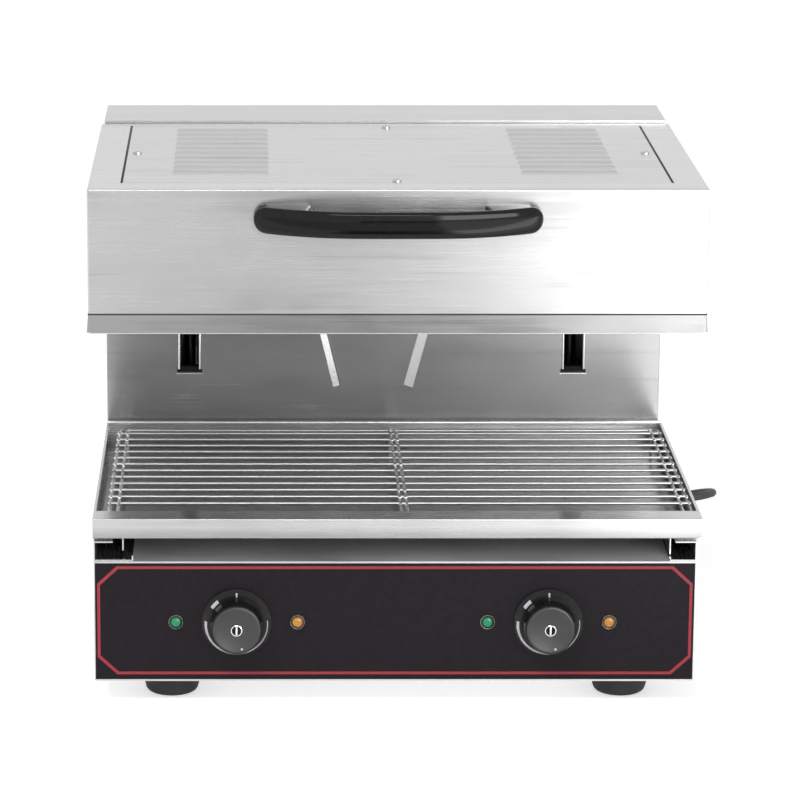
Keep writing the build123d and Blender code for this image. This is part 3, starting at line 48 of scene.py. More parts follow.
# ------------------------------------------------------------------ camera
camera_data = bpy.data.cameras.new("camera")
camera_data.sensor_width = 36.0
camera_data.lens = 171.34
camera_data.shift_x = 0.1834
camera_data.shift_y = -0.008
camera_data.clip_end = 60.0
camera = bpy.data.objects.new("camera", camera_data)
camera.location = (-0.1396, -3.8205, 1.1936)
camera.rotation_euler = (math.radians(76.32), 0.0, 0.0)
bpy.context.scene.collection.objects.link(camera)
bpy.context.scene.camera = camera
bpy.context.scene.view_settings.view_transform = "Standard"


# ------------------------------------------------------------------ node helpers
def shader_of(material):
    return material.node_tree.nodes["Principled BSDF"]


def new_material(name, color, roughness=0.5, metallic=0.0, **sockets):
    """A Principled material; other sockets are set by name, with _ for a space."""
    material = bpy.data.materials.new(name)
    material.use_nodes = True
    shader = shader_of(material)
    shader.inputs["Base Color"].default_value = (*color, 1.0)
    shader.inputs["Roughness"].default_value = roughness
    shader.inputs["Metallic"].default_value = metallic
    for socket, value in sockets.items():
        shader.inputs[socket.replace("_", " ")].default_value = value
    return material


def node(material, kind, **settings):
    made = material.node_tree.nodes.new(kind)
    for key, value in settings.items():
        setattr(made, key, value)
    return made


def link(material, source, target):
    material.node_tree.links.new(source, target)


def noise(material, scale, size=(1.0, 1.0, 1.0), detail=3.0, rough=0.5):
    """Noise in object space; `size` is the pattern's stretch along each axis, in metres."""
    coordinates = node(material, "ShaderNodeTexCoord")
    mapping = node(material, "ShaderNodeMapping")
    mapping.inputs["Scale"].default_value = [1.0 / s for s in size]
    texture = node(material, "ShaderNodeTexNoise")
    texture.inputs["Scale"].default_value = scale
    texture.inputs["Detail"].default_value = detail
    texture.inputs["Roughness"].default_value = rough
    link(material, coordinates.outputs["Object"], mapping.inputs["Vector"])
    link(material, mapping.outputs["Vector"], texture.inputs["Vector"])
    return texture.outputs["Fac"]


def ramp(material, source, low, high, start=0.3, end=0.7):
    """Maps a noise value to a range of numbers."""
    made = node(material, "ShaderNodeMapRange")
    made.inputs["From Min"].default_value = start
    made.inputs["From Max"].default_value = end
    made.inputs["To Min"].default_value = low
    made.inputs["To Max"].default_value = high
    link(material, source, made.inputs["Value"])
    return made.outputs["Result"]


def color_ramp(material, source, stops):
    made = node(material, "ShaderNodeValToRGB")
    elements = made.color_ramp.elements
    while len(elements) < len(stops):
        elements.new(0.5)
    for element, (position, color) in zip(elements, stops):
        element.position = position
        element.color = (*color, 1.0)
    link(material, source, made.inputs["Fac"])
    return made.outputs["Color"]


def bump(material, height, strength, distance):
    made = node(material, "ShaderNodeBump")
    made.inputs["Strength"].default_value = strength
    made.inputs["Distance"].default_value = distance
    link(material, height, made.inputs["Height"])
    link(material, made.outputs["Normal"], shader_of(material).inputs["Normal"])


def grey(value):
    return (value, value, value)


# the grain of brushed sheet, in metres: its lines' length, its bands, and the mottle along x, y, z
GRAIN_LENGTH = 0.12
BAND_WIDTH = 0.007
BAND_LENGTH = 0.9
CLOUD = (0.11, 0.08, 0.05)
GRAIN_DEPTH = 0.0002
# how far drawn lines along x spread a reflection across them
GRAIN_SPREAD = 0.7


def steel(name, tone, along, roughness=0.28, mottle=0.05, brush=0.0009, scratch=0.03):
    """Brushed stainless sheet: fine lines and softer bands along one axis, and a slow mottle."""
    material = new_material(name, grey(tone), roughness, 1.0)
    shader = shader_of(material)
    fine = [brush] * 3
    bands = [BAND_WIDTH] * 3
    fine["xyz".index(along)] = GRAIN_LENGTH
    bands["xyz".index(along)] = BAND_LENGTH
    lines = noise(material, 1.0, fine, 3.0, 0.6)
    band = noise(material, 1.0, bands, 2.0, 0.5)
    cloud = noise(material, 1.0, CLOUD, 2.0)
    shade = add_up(material, [(lines, 0.35), (band, 0.75), (cloud, 1.0)])
    color = color_ramp(material, shade, [
        (0.80, grey(tone * (1 - mottle))), (1.30, grey(tone * (1 + mottle)))])
    link(material, color, shader.inputs["Base Color"])
    gloss = add_up(material, [(lines, 0.5), (cloud, 0.5)])
    link(material, ramp(material, gloss, roughness - 0.05, roughness + 0.05), shader.inputs["Roughness"])
    bump(material, lines, scratch, GRAIN_DEPTH)
    if along == "x":
        across = node(material, "ShaderNodeTangent", direction_type="RADIAL", axis="X")
        link(material, across.outputs["Tangent"], shader.inputs["Tangent"])
        shader.inputs["Anisotropic"].default_value = GRAIN_SPREAD
    return material


def painted_shade_by_height(material, low, high, below, above):
    """Paints shade and light by height: scales a material's colour by `below` under the height `low` and by
    `above` over `high`.
    """
    target = shader_of(material).inputs["Base Color"]
    split = node(material, "ShaderNodeSeparateXYZ")
    link(material, node(material, "ShaderNodeTexCoord").outputs["Object"], split.inputs[0])
    scaled = node(material, "ShaderNodeVectorMath", operation="SCALE")
    link(material, target.links[0].from_socket, scaled.inputs[0])
    link(material, ramp(material, split.outputs["Z"], below, above, low, high), scaled.inputs["Scale"])
    link(material, scaled.outputs["Vector"], target)


def add_up(material, parts):
    """Weighted sum of node outputs."""
    total = None
    for source, weight in parts:
        step = node(material, "ShaderNodeMath", operation="MULTIPLY_ADD")
        link(material, source, step.inputs[0])
        step.inputs[1].default_value = weight
        if total is None:
            step.inputs[2].default_value = 0.0
        else:
            link(material, total, step.inputs[2])
        total = step.outputs["Value"]
    return total


def speckled(name, color, other, scale, roughness, spread=0.06, metallic=0.0, bump_by=0.0002,
             **sockets):
    """A plain material with a fine grain in its colour, gloss and surface; `scale` is the grain's
    size in metres, and `spread` is how far its roughness varies."""
    material = new_material(name, color, roughness, metallic, **sockets)
    shader = shader_of(material)
    fine = noise(material, 1.0, (scale, scale, scale), 3.0)
    link(material, color_ramp(material, fine, [(0.3, color), (0.7, other)]), shader.inputs["Base Color"])
    link(material, ramp(material, fine, roughness - spread, roughness + spread), shader.inputs["Roughness"])
    bump(material, fine, 0.15, bump_by)
    return material


hood_steel = steel("hood_steel", 0.62, "x", 0.25)
# painted shade: the lip is the hood's stainless, toned darker because it faces down to darker surroundings
lip_steel_painted_shade = steel("lip_steel_painted_shade", 0.39, "x", 0.16, 0.06)
cover_steel = steel("cover_steel", 0.57, "x", 0.25, 0.07)
# painted shade: the column is the hood's stainless toned darker for the shade under the hood, and painted
# lighter again above 0.516 m
column_steel_painted_shade = steel("column_steel_painted_shade", 0.36, "x", 0.24, 0.04, scratch=0.015)
painted_shade_by_height(column_steel_painted_shade, low=0.506, high=0.516, below=1.0, above=1.55)
rear_steel = steel("rear_steel", 0.55, "z", 0.34)
# painted shade: the tray is toned darker towards the bottom, to about half below 0.170 m, for the shade in
# its well under the grid
tray_steel_painted_shade = steel("tray_steel_painted_shade", 0.60, "x", 0.26, 0.05, scratch=0.015)
painted_shade_by_height(tray_steel_painted_shade, low=0.170, high=0.186, below=0.48, above=1.0)
base_steel = steel("base_steel", 0.58, "x", 0.34)
deck_steel = steel("deck_steel", 0.55, "x", 0.50)
rail_steel = steel("rail_steel", 0.66, "y", 0.26)
# painted light and shade: the two slanting bars are one pressed steel, the left toned darker and the right
# toned lighter and partly matt for how light falls on each
left_bar_painted_shade = speckled("left_bar_painted_shade", grey(0.42), grey(0.48), 0.0015, 0.26, spread=0.04, metallic=1.0)
right_bar_painted_light = speckled("right_bar_painted_light", grey(0.92), grey(0.96), 0.0015, 0.34, spread=0.04, metallic=0.8)
# painted highlight: the slot rims, hems and welds are the same steel as the sheet, toned lighter so their
# real rounded shapes read as bright lines
bead_steel_painted_highlight = speckled("bead_steel_painted_highlight", grey(0.80), grey(0.88), 0.003, 0.20, spread=0.04, metallic=1.0)
# painted shadow: dark strip for the shadow in the crease between the hood and its lip
seam_painted_shadow = speckled("seam_painted_shadow", (0.045, 0.045, 0.046), (0.060, 0.060, 0.062), 0.002, 0.6,
                     Specular_IOR_Level=0.2)
panel_black = speckled("panel_black", (0.0125, 0.0090, 0.0135), (0.0160, 0.0118, 0.0172), 0.004, 0.36,
                       Specular_IOR_Level=0.15)
handle_black = speckled("handle_black", grey(0.006), grey(0.008), 0.006, 0.09,
                        spread=0.02, metallic=0.0, bump_by=0.00003, Specular_IOR_Level=0.24)
knob_gloss = speckled("knob_gloss", (0.009, 0.009, 0.010), (0.012, 0.012, 0.013), 0.004, 0.22,
                      spread=0.03, metallic=0.0, bump_by=0.00005, Specular_IOR_Level=0.30)
knob_satin = speckled("knob_satin", (0.046, 0.046, 0.048), (0.056, 0.056, 0.058), 0.0009, 0.40)
rubber = speckled("rubber", (0.016, 0.016, 0.017), (0.028, 0.028, 0.030), 0.0015, 0.75)
cable_rubber = speckled("cable_rubber", (0.045, 0.046, 0.048), (0.062, 0.063, 0.066), 0.0012, 0.62)
plug_plastic = speckled("plug_plastic", (0.022, 0.022, 0.024), (0.030, 0.030, 0.032), 0.0016, 0.5)
# painted light: the lenses glow faintly though the lamps are off
green_lens = speckled("green_lens", (0.018, 0.26, 0.12), (0.024, 0.34, 0.16), 0.002, 0.12,
                      Emission_Color=(0.02, 0.30, 0.12, 1.0), Emission_Strength=0.10)
amber_lens = speckled("amber_lens", (0.60, 0.27, 0.05), (0.74, 0.36, 0.08), 0.002, 0.12,
                      Emission_Color=(0.60, 0.25, 0.03, 1.0), Emission_Strength=0.10)
# painted shade: the lens rims are the lens plastic toned darker for the shade at their edges
green_collar_painted_shade = speckled("green_collar_painted_shade", (0.006, 0.075, 0.042), (0.012, 0.11, 0.06), 0.002, 0.14,
                        spread=0.04, metallic=0.2)
amber_collar_painted_shade = speckled("amber_collar_painted_shade", (0.20, 0.095, 0.035), (0.30, 0.15, 0.055), 0.002, 0.14,
                        spread=0.04, metallic=0.2)
bezel_dark = speckled("bezel_dark", (0.16, 0.15, 0.14), (0.26, 0.25, 0.24), 0.002, 0.24, spread=0.05,
                      metallic=0.9)
zinc = speckled("zinc", (0.42, 0.43, 0.44), (0.52, 0.53, 0.53), 0.006, 0.38, spread=0.08, metallic=1.0)
# painted shade: the guide rods are steel toned near black, for the shade inside the column behind the slots
rod_steel_painted_shade = speckled("rod_steel_painted_shade", (0.040, 0.040, 0.042), (0.060, 0.060, 0.062), 0.003, 0.30, spread=0.04,
                     metallic=1.0)
screw_steel = speckled("screw_steel", grey(0.50), grey(0.60), 0.002, 0.26, spread=0.05, metallic=1.0)
wire_chrome = speckled("wire_chrome", grey(0.58), grey(0.68), 0.004, 0.34, spread=0.05, metallic=1.0)
bronze = speckled("bronze", (0.46, 0.30, 0.13), (0.56, 0.38, 0.18), 0.003, 0.30, spread=0.06, metallic=1.0)
pin_nickel = speckled("pin_nickel", (0.62, 0.60, 0.56), (0.70, 0.68, 0.64), 0.003, 0.22, spread=0.05,
                      metallic=1.0)
black_steel = speckled("black_steel", grey(0.006), grey(0.010), 0.003, 0.50,
                       Specular_IOR_Level=0.15)
sheath = speckled("sheath", (0.20, 0.19, 0.18), (0.30, 0.28, 0.25), 0.006, 0.42, spread=0.08, metallic=1.0)
wool = speckled("wool", (0.55, 0.53, 0.47), (0.72, 0.70, 0.63), 0.004, 0.95, spread=0.04, metallic=0.0,
                bump_by=0.002)
ceramic = speckled("ceramic", (0.70, 0.67, 0.60), (0.78, 0.75, 0.68), 0.003, 0.35)
spring_steel = speckled("spring_steel", (0.30, 0.30, 0.31), (0.42, 0.42, 0.43), 0.003, 0.30, spread=0.06,
                        metallic=1.0)
dark_plastic = speckled("dark_plastic", (0.020, 0.020, 0.021), (0.030, 0.030, 0.031), 0.003, 0.5)
light_plastic = speckled("light_plastic", (0.60, 0.59, 0.55), (0.70, 0.69, 0.65), 0.004, 0.5)
red_ink = speckled("red_ink", (0.44, 0.040, 0.055), (0.50, 0.050, 0.066), 0.002, 0.35,
                   Specular_IOR_Level=0.3)
white_ink = speckled("white_ink", grey(0.66), grey(0.74), 0.002, 0.4)
chrome = speckled("chrome", grey(0.84), grey(0.90), 0.002, 0.12, spread=0.04, metallic=1.0)

FINISHES = {
    "base_chassis": base_steel, "base_front_plate": base_steel, "control_panel": panel_black,
    "base_deck": deck_steel, "base_rear_panel": base_steel, "feet": rubber, "foot_screws": screw_steel,
    "knob_left": knob_gloss, "knob_right": knob_gloss, "spindle_left": screw_steel,
    "spindle_right": screw_steel, "thermostat_left": light_plastic, "thermostat_right": light_plastic,
    "green_lamp_lenses": green_lens, "amber_lamp_lenses": amber_lens, "lamp_bodies": dark_plastic,
    "terminal_block": light_plastic, "box_wiring": cable_rubber, "cable_gland": plug_plastic,
    "column_shell": column_steel_painted_shade, "column_rear_cover": rear_steel, "rear_cover_screws": screw_steel,
    "slot_stops": black_steel, "rod_brackets": zinc, "lift_lead": dark_plastic,
    "guide_rod_left": rod_steel_painted_shade, "guide_rod_right": rod_steel_painted_shade, "lift_spring_left": spring_steel,
    "lift_spring_right": spring_steel, "carriage_left": black_steel, "carriage_right": black_steel,
    "hood_arm_left": black_steel, "hood_arm_right": black_steel, "carriage_bushes": bronze,
    "carriage_crossbar": zinc, "arm_bolts": screw_steel, "hood_shell": hood_steel,
    "hood_lip_frame": lip_steel_painted_shade, "hood_top_cover": cover_steel, "cover_screws": screw_steel,
    "handle": handle_black, "handle_screws": screw_steel, "heat_reflector": rail_steel,
    "insulation_pad": wool, "heating_element_left": sheath, "heating_element_right": sheath,
    "element_hangers": zinc, "element_terminals": ceramic, "drip_tray": tray_steel_painted_shade,
    "tray_rail_left": rail_steel, "tray_rail_right": rail_steel, "tray_guide_left": rail_steel,
    "tray_guide_right": rail_steel, "wire_grid": wire_chrome, "coil_tie": dark_plastic,
    "mains_plug": plug_plastic, "mains_lead": cable_rubber, "lead_coil": cable_rubber,
    "lead_tail": cable_rubber,
}
for name, finish in FINISHES.items():
    materials = NODES[name].data.materials
    if not len(materials):
        materials.append(finish)
    for index in range(len(materials)):
        materials[index] = finish


# ------------------------------------------------------------------ mains lead
CABLE = 0.0086
ROW = Vector((0.0, FRONT, 0.0))
LEAD_ROUTE = [
    (317.0, 460.0, 85.0), (340.0, 460.0, 85.6), (361.2, 472.0, 85.6), (373.6, 495.2, 82.4),
    (374.0, 522.8, 76.0), (361.6, 546.0, 68.5), (340.4, 559.6, 60.0), (316.0, 560.5, 48.5),
    (287.0, 551.5, 37.0), (258.0, 534.0, 26.0), (230.0, 512.0, 15.8), (204.0, 495.2, 8.6),
    (179.0, 490.5, 5.5), (158.6, 490.5, 5.5),
]
TAIL_ROUTE = [
    (158.6, 598.5, 14.7), (180.0, 598.5, 14.7), (204.0, 596.5, 18.7), (225.0, 596.5, 18.7),
]
COIL_CENTRE = (150.0, 544.5)
COIL_RADIUS = 54.0
COIL_PITCH = 9.2
COIL_LOW = 5.5
COIL_STEPS = 14


def in_row(point):
    """A route point, in mm with Y from the hood's front, in metres in the row frame."""
    return Vector((point[0] / 1000, point[1] / 1000, point[2] / 1000)) + ROW


def coil_points():
    """The coil's turns: in on the table, up a layer where the spiral reverses, and out again."""
    points = []
    for step in range(int(3.5 * COIL_STEPS) + 1):
        turn = step / COIL_STEPS
        if turn <= 1.5:
            radius, level = COIL_RADIUS - COIL_PITCH * turn, COIL_LOW
        elif turn < 2.0:
            share = (turn - 1.5) / 0.5
            radius = COIL_RADIUS - COIL_PITCH * 1.5 - math.sin(math.pi * share) * COIL_PITCH / 4
            level = COIL_LOW + COIL_PITCH * (3 * share ** 2 - 2 * share ** 3)
        else:
            radius = COIL_RADIUS - COIL_PITCH * 1.5 + COIL_PITCH * (turn - 2.0)
            level = COIL_LOW + COIL_PITCH
        angle = math.radians(-90) - 2 * math.pi * turn
        points.append((COIL_CENTRE[0] + radius * math.cos(angle),
                       COIL_CENTRE[1] + radius * math.sin(angle), level))
    return points


def round_curve(name, points, diameter, material):
    curve = bpy.data.curves.new(name, "CURVE")
    curve.dimensions = "3D"
    curve.bevel_depth = diameter / 2
    curve.bevel_resolution = 5
    curve.resolution_u = 8
    curve.use_fill_caps = True
    spline = curve.splines.new("NURBS")
    spline.points.add(len(points) - 1)
    for control, point in zip(spline.points, points):
        control.co = (*point, 1.0)
    spline.order_u = 3
    spline.use_endpoint_u = True
    made = bpy.data.objects.new(name, curve)
    curve.materials.append(material)
    bpy.context.scene.collection.objects.link(made)
    return made


lead_points = [in_row(p) for p in LEAD_ROUTE + coil_points()[1:-1] + TAIL_ROUTE]
lead = round_curve("supply_lead", lead_points, CABLE, cable_rubber)
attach(lead, "cabinet")
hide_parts("mains_lead", "lead_coil", "lead_tail")


# ------------------------------------------------------------------ mesh helpers
def mesh_object(name, verts, faces, material, sharp=35.0):
    """A mesh from points and faces, smooth apart from edges sharper than `sharp` degrees."""
    mesh = bpy.data.meshes.new(name)
    mesh.from_pydata([tuple(v) for v in verts], [], faces)
    shape = bmesh.new()
    shape.from_mesh(mesh)
    bmesh.ops.remove_doubles(shape, verts=shape.verts, dist=1e-7)
    bmesh.ops.recalc_face_normals(shape, faces=shape.faces)
    shape.to_mesh(mesh)
    shape.free()
    mesh.shade_smooth()
    mesh.set_sharp_from_angle(angle=math.radians(sharp))
    mesh.materials.append(material)
    made = bpy.data.objects.new(name, mesh)
    bpy.context.scene.collection.objects.link(made)
    return made


def freed(shape):
    """Points and faces of a bmesh, which is freed."""
    shape.verts.index_update()
    verts = [tuple(v.co) for v in shape.verts]
    faces = [[v.index for v in f.verts] for f in shape.faces]
    shape.free()
    return verts, faces


def place(made, body):
    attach(made, body)
    return made


def turned(centre, axis, profile, steps=48):
    """Points and faces of a closed (distance, radius) outline turned about an axis through `centre`."""
    first, second = {"x": (1, 2), "y": (0, 2), "z": (0, 1)}[axis]
    along = "xyz".index(axis)
    verts, faces = [], []
    count = len(profile)
    for step in range(steps):
        angle = 2 * math.pi * step / steps
        for distance, radius in profile:
            point = list(centre)
            point[along] = distance
            point[first] += radius * math.cos(angle)
            point[second] += radius * math.sin(angle)
            verts.append(point)
    for step in range(steps):
        after = (step + 1) % steps
        for index in range(count):
            follow = (index + 1) % count
            # a pair of points on the axis makes no face
            if profile[index][1] < 1e-9 and profile[follow][1] < 1e-9:
                continue
            faces.append([step * count + index, step * count + follow,
                          after * count + follow, after * count + index])
    return verts, faces


def shifted(level, outline):
    """An outline of (distance, radius) points, its distances counted from `level`."""
    return [(level + distance, radius) for distance, radius in outline]


def lathe(name, centre, axis, profile, material, steps=48, sharp=35.0):
    verts, faces = turned(centre, axis, profile, steps)
    return mesh_object(name, verts, faces, material, sharp)


def merged(pieces):
    """One set of points and faces from several."""
    verts, faces = [], []
    for more, polygons in pieces:
        base = len(verts)
        verts += more
        faces += [[base + index for index in polygon] for polygon in polygons]
    return verts, faces


def ribbon(name, outer, inner, front, back, material):
    """A flat closed band between two outlines of x, z points, standing from `back` to `front` in y."""
    count = len(outer)
    verts = [(x, y, z) for y in (front, back) for line in (outer, inner) for x, z in line]
    faces = []
    for index in range(count):
        after = (index + 1) % count
        for a, b in ((0, 1), (1, 3), (3, 2), (2, 0)):
            faces.append((a * count + index, a * count + after, b * count + after, b * count + index))
    return mesh_object(name, verts, faces, material)


def polar_patch(centre, inner, outer, start, end, surface, lift=0.00006, depth=0.0004, steps=48):
    """A thin closed patch on a turned face: inner(t) and outer(t) are its radii for t from 0 to 1 along
    the angles start to end, and surface(r) is the face's y."""
    verts, faces = [], []
    across = 4
    for step in range(steps + 1):
        share = step / steps
        angle = math.radians(start + (end - start) * share)
        for layer in (-lift, depth):
            for line in range(across + 1):
                radius = inner(share) + (outer(share) - inner(share)) * line / across
                verts.append((centre[0] + radius * math.cos(angle), surface(radius) + layer,
                              centre[1] + radius * math.sin(angle)))
    row = 2 * (across + 1)
    for step in range(steps):
        here, after = step * row, (step + 1) * row
        for line in range(across):
            for layer in (0, across + 1):
                a, b = here + layer + line, after + layer + line
                faces.append((a, a + 1, b + 1, b))
        for line in (0, across):
            a, b = here + line, after + line
            faces.append((a, b, b + across + 1, a + across + 1))
    for base in (0, steps * row):
        for line in range(across):
            a = base + line
            faces.append((a, a + 1, a + across + 2, a + across + 1))
    return verts, faces


def strip(points, profile):
    """Sweeps a closed profile of (side, out) offsets along straight runs of points; each point is
    (position, side direction, out direction)."""
    verts, faces = [], []
    count = len(profile)
    for position, side, out in points:
        for across, away in profile:
            verts.append(tuple(Vector(position) + Vector(side) * across + Vector(out) * away))
    for step in range(len(points) - 1):
        here, after = step * count, (step + 1) * count
        for index in range(count):
            follow = (index + 1) % count
            faces.append((here + index, here + follow, after + follow, after + index))
    faces.append(tuple(range(count)))
    faces.append(tuple((len(points) - 1) * count + index for index in range(count)))
    return verts, faces


def half_round(radius, steps=8):
    return [(radius * math.cos(math.pi * step / steps), radius * math.sin(math.pi * step / steps))
            for step in range(steps + 1)]


def slab(x, y, z, bevel):
    """A box with its edges rounded by a bevel."""
    shape = bmesh.new()
    bmesh.ops.create_cube(shape, size=1.0)
    size = Vector((x[1] - x[0], y[1] - y[0], z[1] - z[0]))
    middle = Vector(((x[0] + x[1]) / 2, (y[0] + y[1]) / 2, (z[0] + z[1]) / 2))
    for vert in shape.verts:
        vert.co = Vector((vert.co.x * size.x, vert.co.y * size.y, vert.co.z * size.z)) + middle
    bmesh.ops.bevel(shape, geom=shape.edges[:], offset=bevel, segments=3, profile=0.5, affect="EDGES")
    return freed(shape)


# ------------------------------------------------------------------ red line round the control panel
def cut_corner(half_x, low, high, cut_x, cut_z):
    return [(-half_x + cut_x, low), (half_x - cut_x, low), (half_x, low + cut_z), (half_x, high - cut_z),
            (half_x - cut_x, high), (-half_x + cut_x, high), (-half_x, high - cut_z), (-half_x, low + cut_z)]


LINE = 0.0028
LINE_HALF = 0.2936
LINE_LOW = 0.0302
LINE_HIGH = 0.1416
border = ribbon("panel_border", cut_corner(LINE_HALF, LINE_LOW, LINE_HIGH, 0.0192, 0.0178),
                cut_corner(LINE_HALF - LINE, LINE_LOW + LINE, LINE_HIGH - LINE, 0.0180, 0.0166),
                FRONT - 0.00015, FRONT + 0.0001, red_ink)
place(border, "cabinet")


# ------------------------------------------------------------------ lamps
# (rise off the panel, radius) of a lens, its barrel in the panel, its collar and its bezel
LENS_RINGS = ((0.0, 0.0049), (0.0022, 0.0049), (0.0032, 0.0041), (0.0038, 0.0027), (0.0040, 0.0012))
BARREL = ((0.0, 0.0), (0.0, 0.0040), (-0.0020, 0.0040), (-0.0020, 0.0))
COLLAR = ((0.0, 0.0049), (0.0022, 0.0050), (0.0027, 0.0054), (0.0022, 0.0060), (0.0012, 0.0064),
          (0.0, 0.0064))
BEZEL = ((0.0, 0.0063), (0.0016, 0.0063), (0.0021, 0.0066), (0.0022, 0.0070), (0.0018, 0.0075),
         (0.0009, 0.0078), (0.0, 0.0079))
FACETS = 14


def faceted_dome(x):
    """A lamp lens: rings of flat facets, each ring turned half a facet."""
    verts = []
    for level, (rise, radius) in enumerate(LENS_RINGS):
        for step in range(FACETS):
            angle = 2 * math.pi * (step + (level % 2) / 2) / FACETS
            verts.append((x + radius * math.cos(angle), FRONT - rise, CONTROL_Z + radius * math.sin(angle)))
    faces = [tuple(range(FACETS))]
    for level in range(len(LENS_RINGS) - 1):
        for step in range(FACETS):
            a = level * FACETS + step
            b = level * FACETS + (step + 1) % FACETS
            c, d = a + FACETS, b + FACETS
            if level % 2:
                faces += [(a, b, d), (a, d, c)]
            else:
                faces += [(a, b, c), (b, d, c)]
    faces.append(tuple((len(LENS_RINGS) - 1) * FACETS + step for step in range(FACETS)))
    return verts, faces


def lamp_ring(x, outline, steps=48):
    """A closed outline of (rise off the panel, radius) turned about a lamp's axis."""
    return turned((x, 0, CONTROL_Z), "y", [(FRONT - rise, radius) for rise, radius in outline], steps)


for hue, side, finish, collar_shade, node_name, slot in (
        ("green", -1, green_lens, green_collar_painted_shade, "green_lamp_lenses", "green_lens"),
        ("amber", 1, amber_lens, amber_collar_painted_shade, "amber_lamp_lenses", "amber_lens")):
    centres = [knob_x + side * LAMP_SPACING for knob_x in KNOB_X]
    shells = []
    for x in centres:
        shells += [faceted_dome(x), lamp_ring(x, BARREL, 24)]
    lenses = mesh_object(hue + "_lenses", *merged(shells), finish, sharp=8.0)
    place(lenses, "cabinet")
    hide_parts(node_name)
    collar_rings = [lamp_ring(x, COLLAR, FACETS) for x in centres]
    collars = mesh_object(hue + "_collars", *merged(collar_rings), collar_shade, sharp=8.0)
    place(collars, "cabinet")
    bezel_rings = [lamp_ring(x, BEZEL) for x in centres]
    bezels = mesh_object(hue + "_bezels", *merged(bezel_rings), bezel_dark)
    place(bezels, "cabinet")


# ------------------------------------------------------------------ knobs
KNOB_BACK = FRONT - 0.0008
SKIRT_FRONT = KNOB_BACK - 0.0065
SKIRT_EDGE = KNOB_BACK - 0.0020
KNOB_FACE = KNOB_BACK - 0.0290
SHOULDER = 0.0290
SKIRT_RADIUS = 0.0342
# (distance behind the face, radius) of the cap, and of the button's ring and recess and the dot
CAP = ((-0.00012, 0.0), (-0.00012, 0.0208), (-0.00045, 0.0213), (-0.00045, 0.0221), (-0.00015, 0.0228),
       (0.0002, 0.0236), (0.0006, 0.02415), (0.0013, 0.02455), (0.0030, 0.02485), (0.0030, 0.0235),
       (0.0010, 0.0215), (0.0010, 0.0))
BUTTON_RING = ((0.0002, 0.0046), (-0.0006, 0.0047), (-0.0009, 0.0051), (-0.0006, 0.0056), (0.0002, 0.0058))
BUTTON_RECESS = ((-0.0001, 0.0), (-0.0001, 0.0047), (0.0001, 0.0047), (0.0001, 0.0))
BUTTON_BAR_HALF = (0.00095, 0.0044)
DOT = ((-0.00030, 0.0), (-0.00030, 0.0012), (0.0, 0.0013), (0.0, 0.0))
DOT_OFFSET = (0.0052, -0.0192)
BUTTON_OUT = 0.0006
# the printed arc, from its left end round below, and (inner radius, outer radius, from, to) of the
# tick and the dash; angles are in degrees, anticlockwise from the right
ARC_ANGLES = (176, 366)
ARC_RADIUS = 0.0304
ARC_SWELL = 0.0012
ARC_HALF = 0.00125
ARC_TAPER = 0.0008
TICK = (0.0270, 0.0310, 88.4, 91.6)
DASH = (0.0274, 0.0306, 128.5, 146.5)


def skirt_surface(radius):
    """y of the skirt's front at a radius: a flat ring, then a cone."""
    if radius <= SHOULDER:
        return SKIRT_FRONT
    return SKIRT_FRONT + (radius - SHOULDER) * (SKIRT_EDGE - SKIRT_FRONT) / (SKIRT_RADIUS - SHOULDER)


def arc_radius(share):
    """The printed arc swells outwards towards its middle."""
    return ARC_RADIUS + ARC_SWELL * math.sin(math.pi * share)


def arc_half(share):
    """Half the printed arc's width: it thins towards its end."""
    return ARC_HALF - ARC_TAPER * share


def block(spot, inner, outer, start, end, steps):
    """A printed mark between two radii and two angles."""
    return polar_patch(spot, lambda share: inner, lambda share: outer, start, end, skirt_surface, steps=steps)


for side, x in zip(("left", "right"), KNOB_X):
    body = side + "_control"
    centre = (x, 0, CONTROL_Z)
    face = lathe("knob_face_" + side, centre, "y", shifted(KNOB_FACE, CAP), knob_satin, 96)
    place(face, body)
    disc = KNOB_FACE - BUTTON_OUT
    ring = turned(centre, "y", shifted(disc, BUTTON_RING))
    wide, tall = BUTTON_BAR_HALF
    bar = slab((x - wide, x + wide), (disc - 0.0007, disc + 0.0002), (CONTROL_Z - tall, CONTROL_Z + tall),
               0.0003)
    button = mesh_object("knob_button_" + side, *merged([ring, bar]), chrome)
    place(button, body)
    recess = lathe("knob_recess_" + side, centre, "y", shifted(disc, BUTTON_RECESS), black_steel, 32)
    place(recess, body)
    spot = (x, CONTROL_Z)
    arc = polar_patch(spot, lambda share: arc_radius(share) - arc_half(share),
                      lambda share: arc_radius(share) + arc_half(share), *ARC_ANGLES, skirt_surface, steps=90)
    dot = turned((x + DOT_OFFSET[0], 0, CONTROL_Z + DOT_OFFSET[1]), "y", shifted(KNOB_FACE, DOT), 20)
    printed = merged([arc, block(spot, *TICK, 4), block(spot, *DASH, 12), dot])
    marks = mesh_object("knob_marks_" + side, *printed, white_ink)
    place(marks, body)


# ------------------------------------------------------------------ lift slots
COLUMN_FRONT = 0.1625
SLOT_X = (-0.208, 0.204)
SLOT_HALF = 0.0100
SLOT_LOW = 0.2515
SLOT_HIGH = 0.4715
RIM_FACE = COLUMN_FRONT - 0.0007
BEAD = 0.0011
SILL_DROP = 0.0052
SILL_HALF = 0.0142
# the bead's side direction where it turns a corner
MITRE = 0.7
UP = (0, 0, 1)
OUT = (0, -1, 0)

